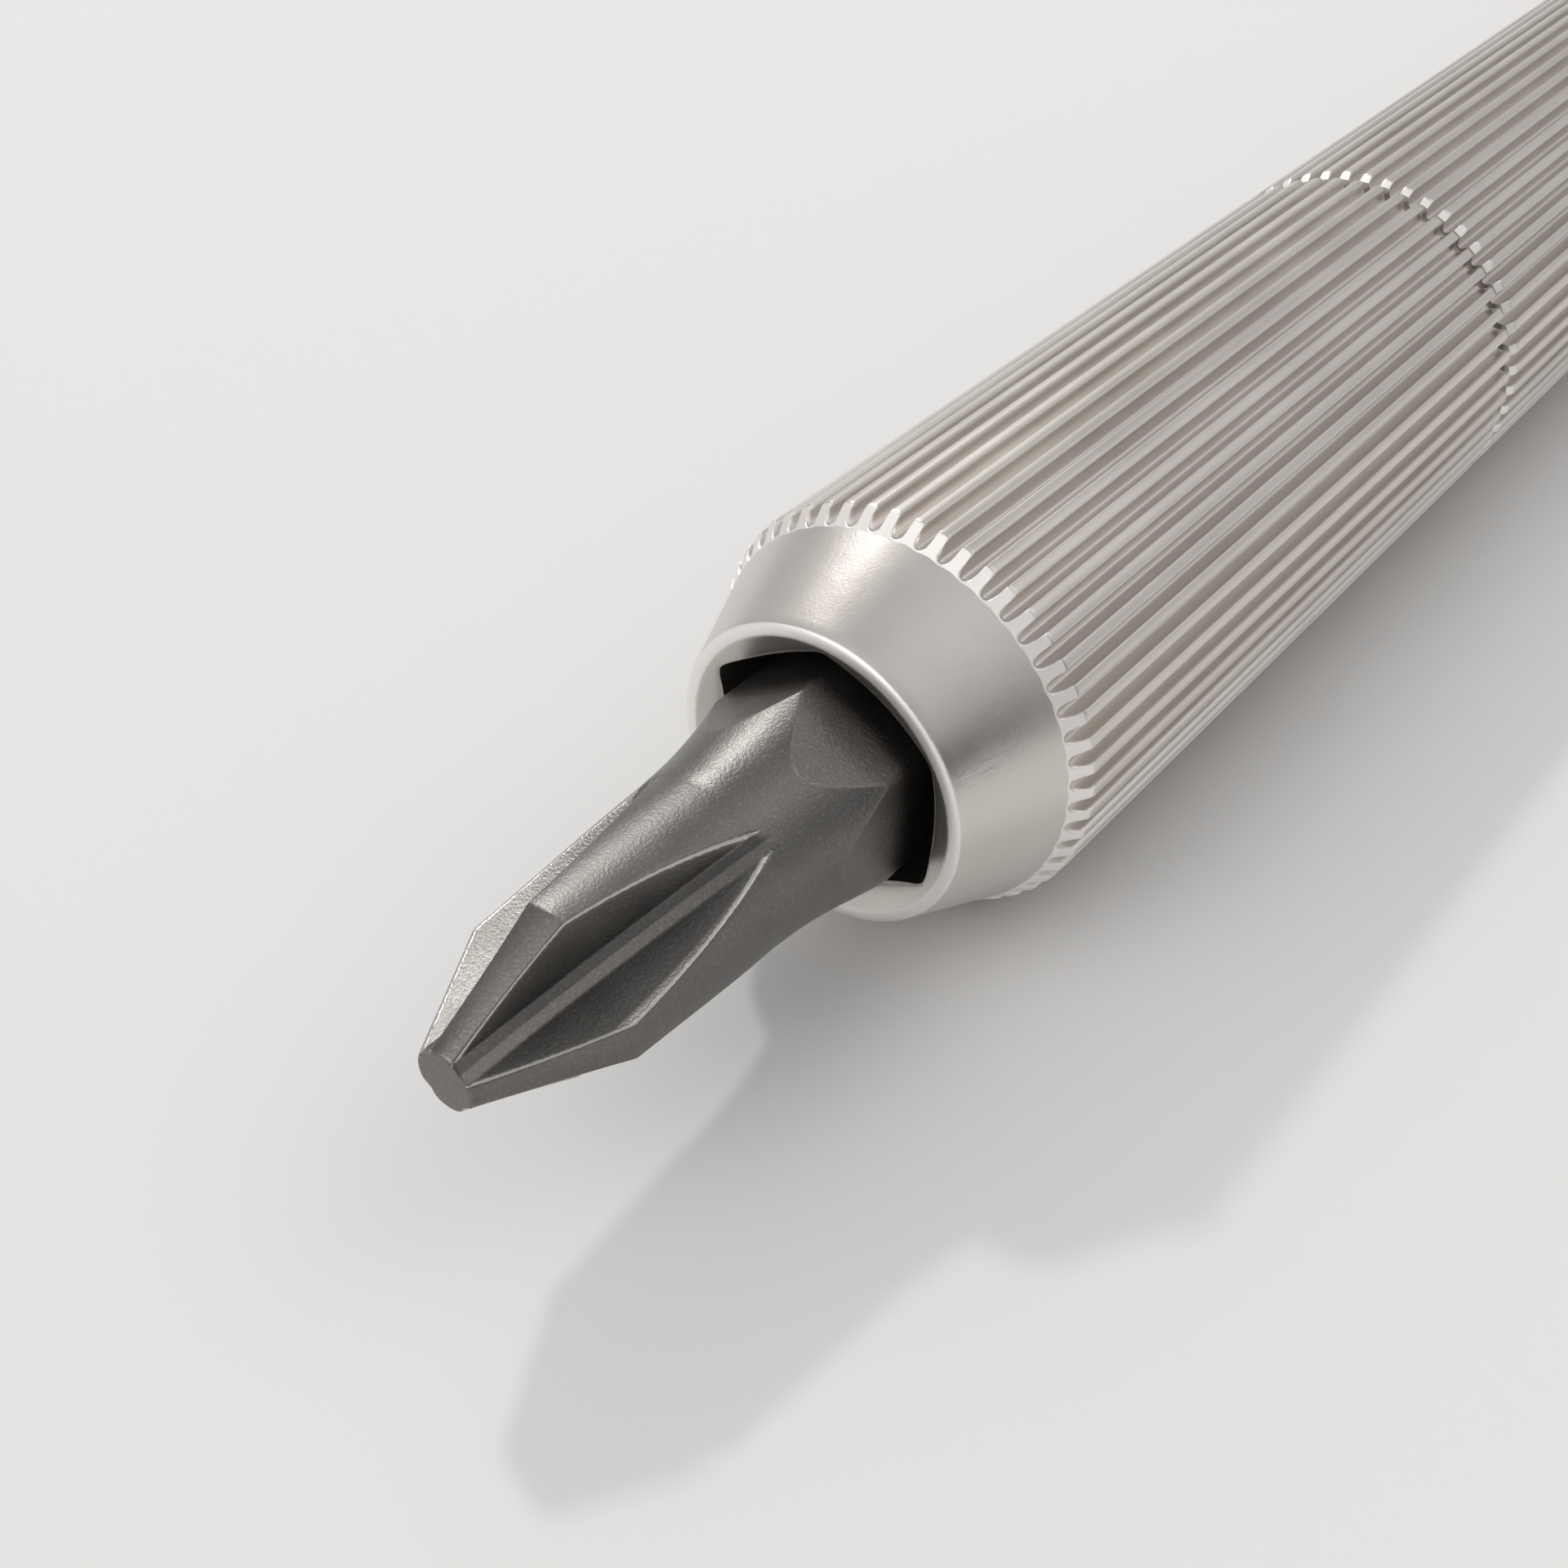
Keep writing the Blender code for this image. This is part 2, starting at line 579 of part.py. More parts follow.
def make_spare_hex_bit():
    z = SECOND_SPARE_Z
    piece = hex_prism("spare_bit_hex", z, BIT_LENGTH, BIT_ACROSS_FLATS)
    key_radius = KEY_ACROSS_FLATS / 2 * HEX_CORNER + KEY_FILLET
    tip = [
        (z + KEY_LENGTH + BIT_NECK_RADIUS - key_radius, BIT_NECK_RADIUS),
        (z + KEY_LENGTH, key_radius),
        (z + KEY_LENGTH, 0.0),
    ]
    combine(piece, shank_form("hex_key_form", z, tip), "INTERSECT")
    combine(piece, hex_prism("hex_key", z, KEY_LENGTH + BIT_NECK_RADIUS, KEY_ACROSS_FLATS), "UNION")
    return place(piece, "tool_steel", tool_axis)


def make_barrel_sleeve():
    length = BARREL_END_Z - BARREL_Z + 2 * OVERSHOOT
    piece = fluted_bar("barrel_sleeve", BARREL_Z - OVERSHOOT, length, 0.0)
    outside = HANDLE_RADIUS + OVERSHOOT
    form = [
        (BARREL_END_Z, 0.0),
        (BARREL_END_Z, HANDLE_RADIUS - END_CHAMFER),
        (BARREL_END_Z - END_CHAMFER - OVERSHOOT, outside),
        (BARREL_Z + END_CHAMFER + OVERSHOOT, outside),
        (BARREL_Z, HANDLE_RADIUS - END_CHAMFER),
        (BARREL_Z, 0.0),
    ]
    bore = [
        (BARREL_END_Z + OVERSHOOT, 0.0),
        (BARREL_END_Z + OVERSHOOT, BEARING_BORE_SEAT_RADIUS),
        (MAGAZINE_END_Z, BEARING_BORE_SEAT_RADIUS),
        (MAGAZINE_END_Z, MAGAZINE_RADIUS),
        (THREADED_BORE_END_Z, MAGAZINE_RADIUS),
        (THREADED_BORE_END_Z, THREAD_BORE_RADIUS),
        (BARREL_Z + SEAL_BORE_DEPTH, THREAD_BORE_RADIUS),
        (BARREL_Z + SEAL_BORE_DEPTH, SEAL_BORE_RADIUS),
        (BARREL_Z - OVERSHOOT, SEAL_BORE_RADIUS),
        (BARREL_Z - OVERSHOOT, 0.0),
    ]
    combine(piece, turned("barrel_form", form, FLUTE_COUNT), "INTERSECT")
    turns = THREAD_TURNS + 2
    inner = THREAD_BORE_RADIUS - THREAD_SINK
    play = 2 * THREAD_CLEARANCE / math.cos(THREAD_FLANK_ANGLE)
    outer = THREAD_CREST_RADIUS + THREAD_CLEARANCE
    cut(
        piece,
        turned("barrel_bore", bore, THREAD_STEPS),
        thread_coil("barrel_thread", THREAD_Z - THREAD_PITCH, turns, inner, outer, play),
    )
    return place(piece, "aluminium", tool_axis)


def make_magazine():
    """The plastic liner with its front plug, the pad between the spare bits and the pad behind them."""
    length = MAGAZINE_END_Z - MAGAZINE_Z
    tube = ring(
        "magazine_tube", MAGAZINE_Z, length, MAGAZINE_OUTER_RADIUS, MAGAZINE_INNER_RADIUS, THREAD_STEPS
    )
    place(tube, "grey_plastic", tool_axis)
    pads = {"magazine_plug": PLUG_Z, "bit_spacer_pad": SPACER_Z, "magazine_end_pad": END_PAD_Z}
    for name, z in pads.items():
        pad = ring(name, z, PAD_LENGTH, PAD_RADIUS, PAD_HOLE_RADIUS, THREAD_STEPS)
        place(pad, "black_rubber", tool_axis)


def race_arc(radius, toward_axis):
    """Points across a bearing race, from the tail side to the front, round the ball's own circle."""
    reach = BALL_RADIUS + BALL_CLEARANCE
    land = reach - RACE_LAND
    half = math.acos(land / reach)
    sign = -1 if toward_axis else 1
    points = []
    for step in range(RACE_STEPS + 1):
        angle = half * (1 - 2 * step / RACE_STEPS)
        points.append((BEARING_CENTRE_Z + reach * math.sin(angle), radius + sign * reach * math.cos(angle)))
    return points


def make_bearing_rings():
    back = BEARING_Z + BEARING_WIDTH
    outer_race = race_arc(BALL_CIRCLE_RADIUS, False)
    inner_race = race_arc(BALL_CIRCLE_RADIUS, True)
    outer = [(back, BEARING_OUTER_RADIUS), (BEARING_Z, BEARING_OUTER_RADIUS)]
    outer += [(BEARING_Z, outer_race[-1][1]), *reversed(outer_race), (back, outer_race[0][1])]
    inner = [(back, inner_race[0][1]), *inner_race, (BEARING_Z, inner_race[-1][1])]
    inner += [(BEARING_Z, BEARING_BORE_RADIUS), (back, BEARING_BORE_RADIUS)]
    place(turned("bearing_outer_ring", outer, FINE_STEPS), "bearing_steel", tool_axis)
    place(turned("bearing_inner_ring", inner, FINE_STEPS), "bearing_steel", cap_axis)
    return outer_race[0][1], inner_race[0][1]


def make_bearing_shields(outer_land, inner_land):
    outer = outer_land - PRESS_CLEARANCE
    inner = inner_land + PRESS_CLEARANCE
    front = BEARING_Z + SHIELD_INSET
    rear = BEARING_Z + BEARING_WIDTH - SHIELD_INSET - SHIELD_THICKNESS
    for name, z in (("bearing_shield_front", front), ("bearing_shield_rear", rear)):
        place(ring(name, z, SHIELD_THICKNESS, outer, inner, FINE_STEPS), "shield_steel", tool_axis)


def make_bearing_cage():
    """The ball cage and its balls, which go round together at less than half the cap's speed."""
    cage = ring(
        "bearing_cage",
        BEARING_CENTRE_Z - CAGE_WIDTH / 2,
        CAGE_WIDTH,
        BALL_CIRCLE_RADIUS + CAGE_WALL / 2,
        BALL_CIRCLE_RADIUS - CAGE_WALL / 2,
        FINE_STEPS,
    )
    for number in range(BALL_COUNT):
        angle = number * 2 * math.pi / BALL_COUNT
        outward = Vector((math.cos(angle), math.sin(angle), 0.0))
        centre = outward * BALL_CIRCLE_RADIUS + Vector((0.0, 0.0, BEARING_CENTRE_Z))
        pocket = disc(
            f"ball_pocket_{number + 1}",
            -CAGE_WALL * 2,
            CAGE_WALL * 4,
            BALL_RADIUS + POCKET_CLEARANCE,
            POCKET_STEPS,
        )
        pocket.location = centre
        pocket.rotation_euler = outward.to_track_quat("Z", "Y").to_euler()
        cut(cage, pocket)
        make_ball(f"bearing_ball_{number + 1}", centre)
    return place(cage, "cage_brass", cage_axis)


def make_ball(name, centre):
    bm = bmesh.new()
    bmesh.ops.create_uvsphere(bm, u_segments=BALL_SEGMENTS, v_segments=BALL_RINGS, radius=BALL_RADIUS)
    mesh = bpy.data.meshes.new(name)
    bm.to_mesh(mesh)
    bm.free()
    smooth(mesh)
    ball = bpy.data.objects.new(name, mesh)
    ball.location = centre
    return place(ball, "bearing_steel", cage_axis)


def make_bearing_stop():
    """The ring ahead of the bearing: it takes the bearing's thrust and closes the magazine's end."""
    piece = ring("bearing_stop", STOP_Z, STOP_LENGTH, BEARING_OUTER_RADIUS, STOP_BORE_RADIUS, FINE_STEPS)
    return place(piece, "aluminium", tool_axis)


def make_bearing_retainer():
    """The ring behind the bearing, with two notches for the wrench that tightens it."""
    piece = ring(
        "bearing_retainer", RETAINER_Z, RETAINER_LENGTH, BEARING_OUTER_RADIUS, STOP_BORE_RADIUS, FINE_STEPS
    )
    size = (BEARING_OUTER_RADIUS * 3, RETAINER_NOTCH, RETAINER_NOTCH * 2)
    notches = box("retainer_notches", (0, 0, RETAINER_Z + RETAINER_LENGTH), size)
    cut(piece, notches)
    return place(piece, "cage_brass", tool_axis)


def make_thrust_washer():
    piece = ring("thrust_washer", WASHER_Z, WASHER_THICKNESS, WASHER_RADIUS, WASHER_BORE_RADIUS, FINE_STEPS)
    return place(piece, "white_nylon", tool_axis)


def make_axle_screw():
    """The screw that holds the bearing's inner ring against the cap's boss."""
    head = [
        (SCREW_END_Z, 0.0),
        (SCREW_END_Z, SCREW_SHANK_RADIUS - END_CHAMFER),
        (SCREW_END_Z - END_CHAMFER, SCREW_SHANK_RADIUS),
        (SCREW_Z + SCREW_HEAD_LENGTH, SCREW_SHANK_RADIUS),
        (SCREW_Z + SCREW_HEAD_LENGTH, SCREW_HEAD_RADIUS),
        (SCREW_Z + END_CHAMFER, SCREW_HEAD_RADIUS),
        (SCREW_Z, SCREW_HEAD_RADIUS - END_CHAMFER),
        (SCREW_Z, 0.0),
    ]
    piece = turned("axle_screw", head, THREAD_STEPS)
    depth = SCREW_KEY_DEPTH + OVERSHOOT
    cut(piece, hex_prism("screw_key", SCREW_Z - OVERSHOOT, depth, SCREW_KEY_ACROSS_FLATS))
    return place(piece, "screw_steel", cap_axis)


def make_swivel_cap():
    """The cap that the palm rests on, with a boss that reaches in to the bearing's inner ring."""
    line_z = CAP_Z + CAP_LINE_Z
    hole_radius = SCREW_SHANK_RADIUS + PRESS_CLEARANCE
    hole_end = SCREW_END_Z + FACE_CLEARANCE
    seat_z = CAP_END_Z - DISC_THICKNESS
    profile = [
        (seat_z, 0.0),
        (seat_z, DISC_RADIUS + PRESS_CLEARANCE),
        (CAP_END_Z, DISC_RADIUS + PRESS_CLEARANCE),
        (CAP_END_Z, CAP_RADIUS - CAP_EDGE),
        (CAP_END_Z - CAP_EDGE_FLAT, CAP_RADIUS - CAP_EDGE_FLAT),
        (CAP_END_Z - CAP_EDGE, CAP_RADIUS),
        (line_z + CAP_LINE_WIDTH, CAP_RADIUS),
        (line_z + CAP_LINE_WIDTH / 2, CAP_RADIUS - CAP_LINE_DEPTH),
        (line_z, CAP_RADIUS),
        (CAP_Z + END_CHAMFER, CAP_RADIUS),
        (CAP_Z, CAP_RADIUS - END_CHAMFER),
        (CAP_Z, CAP_BOSS_RADIUS),
        (BOSS_Z, CAP_BOSS_RADIUS),
        (BOSS_Z, hole_radius),
        (hole_end, hole_radius),
        (hole_end, 0.0),
    ]
    return place(turned("swivel_cap", profile, CAP_STEPS), "aluminium", cap_axis)


def make_cap_disc():
    z = CAP_END_Z - DISC_THICKNESS + FACE_CLEARANCE
    piece = disc("cap_disc", z, DISC_THICKNESS - FACE_CLEARANCE, DISC_RADIUS, FINE_STEPS)
    return place(piece, "screw_steel", cap_axis)


clear_scene()
parts = new_collection("precision_screwdriver")
cutters = new_collection("cutters")
tool_axis = empty("tool_axis", 0.0, None)
tool_axis.location = (CENTRE_X, 0.0, RIDGE_FLAT_RADIUS)
tool_axis.rotation_euler = (0.0, math.pi / 2, 0.0)
advance_axis = empty("advance_axis", O_RING_Z, tool_axis)
nose_axis = empty("nose_axis", NOSE_LENGTH, tool_axis)
bit_axis = empty("bit_axis", BIT_BACK_Z, tool_axis)
cap_axis = empty("cap_axis", CAP_Z, tool_axis)
cage_axis = empty("cage_axis", BEARING_CENTRE_Z, tool_axis)

make_nose_sleeve()
make_bit_socket()
make_socket_magnet()
make_spigot_o_ring()
make_phillips_bit()
make_barrel_sleeve()
make_magazine()
make_spare_slotted_bit()
make_spare_hex_bit()
make_bearing_stop()
make_bearing_shields(*make_bearing_rings())
make_bearing_cage()
make_bearing_retainer()
make_thrust_washer()
make_axle_screw()
make_swivel_cap()
make_cap_disc()
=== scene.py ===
"""Looks of a slim precision screwdriver: fine meshes, finishes, floor, light and camera.

Lengths in the classes are millimetres. Places along the tool are counted from the rim of the nose
towards the tail, and angles round it from straight up towards the camera's side.
"""

import logging
import math
from dataclasses import dataclass, field
from enum import Enum
from typing import Callable

import bmesh
import bpy
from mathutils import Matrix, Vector


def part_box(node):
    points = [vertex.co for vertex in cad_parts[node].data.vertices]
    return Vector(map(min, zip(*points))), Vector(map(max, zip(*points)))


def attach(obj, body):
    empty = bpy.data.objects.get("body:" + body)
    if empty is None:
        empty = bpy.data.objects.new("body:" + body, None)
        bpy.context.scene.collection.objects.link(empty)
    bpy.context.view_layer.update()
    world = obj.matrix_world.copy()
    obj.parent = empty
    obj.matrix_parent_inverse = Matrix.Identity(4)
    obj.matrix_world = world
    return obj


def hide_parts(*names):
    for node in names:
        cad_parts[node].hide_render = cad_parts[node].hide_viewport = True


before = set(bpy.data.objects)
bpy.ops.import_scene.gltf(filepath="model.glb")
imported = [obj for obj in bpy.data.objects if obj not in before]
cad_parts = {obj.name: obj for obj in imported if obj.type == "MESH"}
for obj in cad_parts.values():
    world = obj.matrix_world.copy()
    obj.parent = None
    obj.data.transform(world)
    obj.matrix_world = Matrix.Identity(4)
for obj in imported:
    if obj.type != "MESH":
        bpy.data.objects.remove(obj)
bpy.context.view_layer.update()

log = logging.getLogger("precision_screwdriver")

MM = 0.001
WELD = 1.0e-7
SHARP_ANGLE = math.radians(40.0)

Piece = bpy.types.Object
Material = bpy.types.Material
Node = bpy.types.Node
Socket = bpy.types.NodeSocket
Tree = bpy.types.NodeTree
Colour = tuple[float, float, float]
Corner = tuple[float, float]
Spot = tuple[float, float, float, float]
Section = tuple[float, float, float]


def blend_min(first: float, second: float, width: float) -> float:
    """The smaller of two values, rounded off where they are closer than a width."""
    near = max(width - abs(first - second), 0.0) / width
    return min(first, second) - near * near * width / 4.0


def blend_max(first: float, second: float, width: float) -> float:
    """The larger of two values, rounded off where they are closer than a width."""
    return -blend_min(-first, -second, width)


def nearness(first: float, second: float, width: float) -> float:
    """How close two values are, from 0 at the given width to 1 where they are equal."""
    return max(width - abs(first - second), 0.0) / width


def smooth(share: float) -> float:
    """A share that starts and ends softly."""
    return share * share * (3 - 2 * share)


def mix(first: float, second: float, share: float) -> float:
    """A value between two others, by its share of the second."""
    return first + (second - first) * share


def hex_radius(angle: float, across_flats: float, rounding: float = 0.0) -> float:
    """Distance from the axis to a hexagon that has two corners up and down.

    Args:
        angle: Angle round the tool.
        across_flats: The hexagon's size.
        rounding: How much its corners are rounded.

    Returns:
        The distance from the axis, in millimetres.
    """
    sector = math.pi / 3
    from_flat = (angle % sector) - sector / 2
    flat = across_flats / 2 / math.cos(from_flat)
    corner = across_flats / 2 / math.cos(sector / 2)
    return blend_min(flat, corner - rounding / 2, rounding) if rounding else flat


class Body(Enum):
    """The rigid bodies that the new pieces ride on."""

    BARREL = "barrel"
    NOSE = "nose"
    BIT = "bit"
    CAP = "cap"


@dataclass(frozen=True)
class ToolAxis:
    """Where the tool's axis lies in the frame.

    Attributes:
        rim_x: Place of the nose's rim, in metres.
        height: Height of the axis over the floor, in metres.
    """

    rim_x: float
    height: float

    def point(self, along: float, radius: float, angle: float) -> Vector:
        """A place in the frame, from millimetres along and off the axis and an angle round it."""
        side, up = -radius * MM * math.sin(angle), radius * MM * math.cos(angle)
        return Vector((self.rim_x + along * MM, side, self.height + up))

    def along(self, x: float) -> float:
        """Millimetres from the rim to a place given by its x in metres."""
        return (x - self.rim_x) / MM


def find_axis() -> ToolAxis:
    """Reads the tool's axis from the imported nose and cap.

    Returns:
        The axis.
    """
    rim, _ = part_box("nose_sleeve")
    low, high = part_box("swivel_cap")
    return ToolAxis(rim_x=rim[0], height=(low[2] + high[2]) / 2)


# Meshes


def finish_mesh(bm: bmesh.types.BMesh, name: str, sharp: float = SHARP_ANGLE) -> Piece:
    """Welds and closes a mesh and puts it in the scene as a piece.

    Args:
        bm: The mesh, which is freed.
        name: The piece's name.
        sharp: Angle past which an edge stays sharp.

    Returns:
        The new object, at the origin.
    """
    bmesh.ops.remove_doubles(bm, verts=bm.verts, dist=WELD)
    bmesh.ops.dissolve_degenerate(bm, edges=bm.edges, dist=WELD)
    bmesh.ops.recalc_face_normals(bm, faces=bm.faces)
    mesh = bpy.data.meshes.new(name)
    bm.to_mesh(mesh)
    bm.free()
    mesh.shade_smooth()
    mesh.set_sharp_from_angle(angle=sharp)
    piece = bpy.data.objects.new(name, mesh)
    bpy.context.scene.collection.objects.link(piece)
    return piece


def wrap(
    name: str, axis: ToolAxis, rows: int, columns: int, place: Callable[[int, int], Spot]
) -> Piece:
    """A skin that goes once round the tool, shaped from one grid.

    Args:
        name: The piece's name.
        axis: The tool's axis.
        rows: Number of rows of points along the skin.
        columns: Number of points round it.
        place: Gives the along, radius, angle and edge brightness of the point in a row and column:
            abrasion on the steel, painted highlight on the aluminium.

    Returns:
        The new object, with the brightness of its edges in an attribute: abrasion on the steel,
        painted highlight on the aluminium.
    """
    bm = bmesh.new()
    bmesh.ops.create_grid(bm, x_segments=columns, y_segments=rows - 1, size=1.0)
    wear = bm.verts.layers.float.new("wear")
    for index, vert in enumerate(bm.verts):
        row, column = divmod(index, columns + 1)
        along, radius, angle, worn_and_highlit = place(row, column % columns)
        vert.co = axis.point(along, radius, angle)
        vert[wear] = worn_and_highlit
    return finish_mesh(bm, name)


def turn(name: str, axis: ToolAxis, profile: list[Corner], steps: int) -> Piece:
    """A turned piece, spun from its profile.

    Args:
        name: The piece's name.
        axis: The tool's axis.
        profile: Its along and radius values, from one end of the outline to the other.
        steps: Number of steps round it.

    Returns:
        The new object.
    """
    bm = bmesh.new()
    verts = [bm.verts.new(axis.point(along, radius, 0.0)) for along, radius in profile]
    edges = [bm.edges.new(pair) for pair in zip(verts, verts[1:])]
    bmesh.ops.spin(
        bm,
        geom=[*verts, *edges],
        cent=axis.point(0.0, 0.0, 0.0),
        axis=(1.0, 0.0, 0.0),
        angle=2 * math.pi,
        steps=steps,
        use_merge=True,
    )
    return finish_mesh(bm, name)


def rounded(points: list[Corner], radius: float, steps: int = 3) -> list[Corner]:
    """A profile whose inner corners are rounded.

    Args:
        points: The profile's corners.
        radius: The rounding's reach along each side of a corner.
        steps: Number of pieces in each rounding.

    Returns:
        The profile with its corners rounded.
    """
    result = [points[0]]
    for before, corner, after in zip(points, points[1:], points[2:]):
        sides = []
        for other in (before, after):
            length = math.dist(corner, other)
            share = min(radius / length, 0.45)
            sides.append((mix(corner[0], other[0], share), mix(corner[1], other[1], share)))
        for step in range(steps + 1):
            t = step / steps
            result.append(
                tuple(
                    (1 - t) ** 2 * sides[0][k] + 2 * t * (1 - t) * corner[k] + t * t * sides[1][k]
                    for k in range(2)
                )
            )
    return [*result, points[-1]]


# Finishes


class Nodes:
    """Adds and links shader nodes in one tree."""

    def __init__(self, tree: Tree) -> None:
        """Keeps the tree."""
        self.tree = tree

    def add(self, kind: str, **values: object) -> Node:
        """Adds a node and sets its properties and its unlinked inputs.

        Args:
            kind: The node's type, without its ShaderNode prefix.
            **values: Properties by name, or inputs by name with spaces as underscores.

        Returns:
            The new node.
        """
        node = self.tree.nodes.new(kind if kind.startswith("Node") else "ShaderNode" + kind)
        for key, value in values.items():
            if hasattr(node, key):
                setattr(node, key, value)
            else:
                node.inputs[key.replace("_", " ")].default_value = value
        return node

    @property
    def shader(self) -> Node:
        """The shader of a material's tree."""
        return self.tree.nodes["Principled BSDF"]

    def link(self, source: Socket, target: Socket) -> None:
        """Links one socket to another."""
        self.tree.links.new(source, target)

    def mix(
        self,
        share: Socket,
        first: object,
        second: object,
        is_colour: bool = True,
    ) -> Socket:
        """Mixes two colours or values by a share.

        Args:
            share: Socket with the second one's share.
            first: The first colour or value, or a socket.
            second: The second colour or value, or a socket.
            is_colour: Whether they are colours.

        Returns:
            The mixed result's socket.
        """
        node = self.add("Mix", data_type="RGBA" if is_colour else "FLOAT")
        names = ("A_Color", "B_Color") if is_colour else ("A_Float", "B_Float")
        sockets = {socket.identifier: socket for socket in node.inputs}
        self.link(share, sockets["Factor_Float"])
        for name, value in zip(names, (first, second)):
            if isinstance(value, Socket):
                self.link(value, sockets[name])
            else:
                sockets[name].default_value = (*value, 1.0) if is_colour else value
        wanted = "Result_Color" if is_colour else "Result_Float"
        return next(socket for socket in node.outputs if socket.identifier == wanted)

    def math(self, operation: str, first: object, second: object = 0.0) -> Socket:
        """One step of arithmetic.

        Args:
            operation: The Math node's operation.
            first: A socket or a number.
            second: A socket or a number.

        Returns:
            The result's socket.
        """
        node = self.add("Math", operation=operation)
        for socket, value in zip(node.inputs, (first, second)):
            if isinstance(value, Socket):
                self.link(value, socket)
            else:
                socket.default_value = value
        return node.outputs[0]

    def span(self, value: Socket, low: float, high: float) -> Socket:
        """Stretches the part of a value between two limits over 0 to 1.

        Args:
            value: The value's socket.
            low: The limit that becomes 0.
            high: The limit that becomes 1.

        Returns:
            The result's socket.
        """
        node = self.add("MapRange", From_Min=low, From_Max=high)
        node.interpolation_type = "SMOOTHSTEP"
        self.link(value, node.inputs["Value"])
        return node.outputs["Result"]

    def noise(
        self, place: Socket, size: object, detail: float = 2.0, roughness: float = 0.5
    ) -> Socket:
        """A noise.

        Args:
            place: Socket with the place that it is read at.
            size: Size of its features in millimetres, or a socket with it.
            detail: Its number of finer layers.
            roughness: The finer layers' share.

        Returns:
            The noise's socket.
        """
        node = self.add("TexNoise", Detail=detail, Roughness=roughness)
        self.link(place, node.inputs["Vector"])
        if isinstance(size, Socket):
            self.link(self.math("DIVIDE", 1.0 / MM, size), node.inputs["Scale"])
        else:
            node.inputs["Scale"].default_value = 1.0 / (size * MM)
        return node.outputs["Fac"]

    def put_out(self, **values: Socket) -> None:
        """Links a group's outputs.

        Args:
            **values: The sockets that feed them, by the outputs' names.
        """
        result = self.add("NodeGroupOutput")
        for name, value in values.items():
            self.link(value, result.inputs[name])


def new_group(name: str, inputs: dict[str, float], outputs: list[str]) -> tuple[Tree, Nodes]:
    """A shader node group with named number sockets.

    Args:
        name: The group's name.
        inputs: Its inputs with their usual values.
        outputs: Its outputs.

    Returns:
        The group and a helper that builds in it.
    """
    group = bpy.data.node_groups.new(name, "ShaderNodeTree")
    number = "NodeSocketFloat"
    for title, value in inputs.items():
        socket = group.interface.new_socket(name=title, in_out="INPUT", socket_type=number)
        socket.default_value = value
    for title in outputs:
        group.interface.new_socket(name=title, in_out="OUTPUT", socket_type=number)
    return group, Nodes(group)


def blasted_group() -> Tree:
    """A bead-blasted skin: relief of dense pits, waves and scuffs, soft patches and bright specks.

    Returns:
        The node group.
    """
    inputs = {"Grain": 0.05, "Wave": 0.5, "Scuffs": 0.3}
    group, nodes = new_group("blasted_skin", inputs, ["Relief", "Patches", "Specks"])
    given = nodes.add("NodeGroupInput")
    place = nodes.add("TexCoord").outputs["Object"]
    grain = nodes.noise(place, given.outputs["Grain"], detail=3.0, roughness=0.6)
    wave = nodes.noise(place, 0.55, detail=1.0)
    patches = nodes.noise(place, 2.4, detail=3.0)
    stretch = nodes.add("Mapping", Scale=(0.2, 1.0, 1.0), Rotation=(0.4, 0.5, 0.9))
    nodes.link(place, stretch.inputs["Vector"])
    streak = nodes.noise(stretch.outputs["Vector"], 0.11, detail=3.0, roughness=0.6)
    streak.node.inputs["Distortion"].default_value = 0.5
    scuffed = nodes.span(nodes.noise(place, 1.5, detail=1.0), 0.40, 0.75)
    scuffs = nodes.math("MULTIPLY", streak, scuffed)
    scuffs = nodes.math("MULTIPLY", scuffs, given.outputs["Scuffs"])
    relief = nodes.math("MULTIPLY_ADD", wave, given.outputs["Wave"])
    nodes.link(grain, relief.node.inputs[2])
    relief = nodes.math("SUBTRACT", relief, scuffs)
    nodes.put_out(Relief=relief, Patches=patches, Specks=nodes.span(grain, 0.48, 0.72))
    return group


def wear_group() -> Tree:
    """Where edges are painted bright, as abrasion on the steel and as painted highlight on the
    aluminium: the mesh's edge attribute, broken up by a fine noise.

    Returns:
        The node group.
    """
    group, nodes = new_group("rubbed_and_highlit_edges", {"Amount": 1.0, "Break": 0.08}, ["Rubbed"])
    given = nodes.add("NodeGroupInput")
    place = nodes.add("TexCoord").outputs["Object"]
    wear = nodes.add("Attribute", attribute_name="wear").outputs["Fac"]
    torn = nodes.math("SUBTRACT", nodes.noise(place, given.outputs["Break"], roughness=0.6), 0.62)
    broken = nodes.math("ADD", nodes.span(wear, 0.15, 0.95), torn)
    rubbed_and_highlit = nodes.span(broken, 0.2, 0.7)
    nodes.put_out(Rubbed=nodes.math("MULTIPLY", rubbed_and_highlit, given.outputs["Amount"]))
    return group


def turned_group() -> Tree:
    """Fine rings that a lathe tool leaves round the tool's axis, or circles on a faced end.

    Returns:
        The node group.
    """
    group, nodes = new_group("lathe_rings", {"Pitch": 0.05, "Height": 0.0044}, ["Relief"])
    given = nodes.add("NodeGroupInput")
    place = nodes.add("TexCoord").outputs["Object"]
    split = nodes.add("SeparateXYZ")
    nodes.link(place, split.inputs[0])
    up = nodes.math("SUBTRACT", split.outputs["Z"], given.outputs["Height"])
    across = nodes.math("POWER", split.outputs["Y"], 2.0)
    square = nodes.math("ADD", nodes.math("MULTIPLY", up, up), across)
    rings = nodes.add("CombineXYZ")
    nodes.link(split.outputs["X"], rings.inputs["X"])
    nodes.link(nodes.math("SQRT", square), rings.inputs["Y"])
    pitch = given.outputs["Pitch"]
    nodes.put_out(Relief=nodes.noise(rings.outputs[0], pitch, detail=3.0, roughness=0.7))
    return group


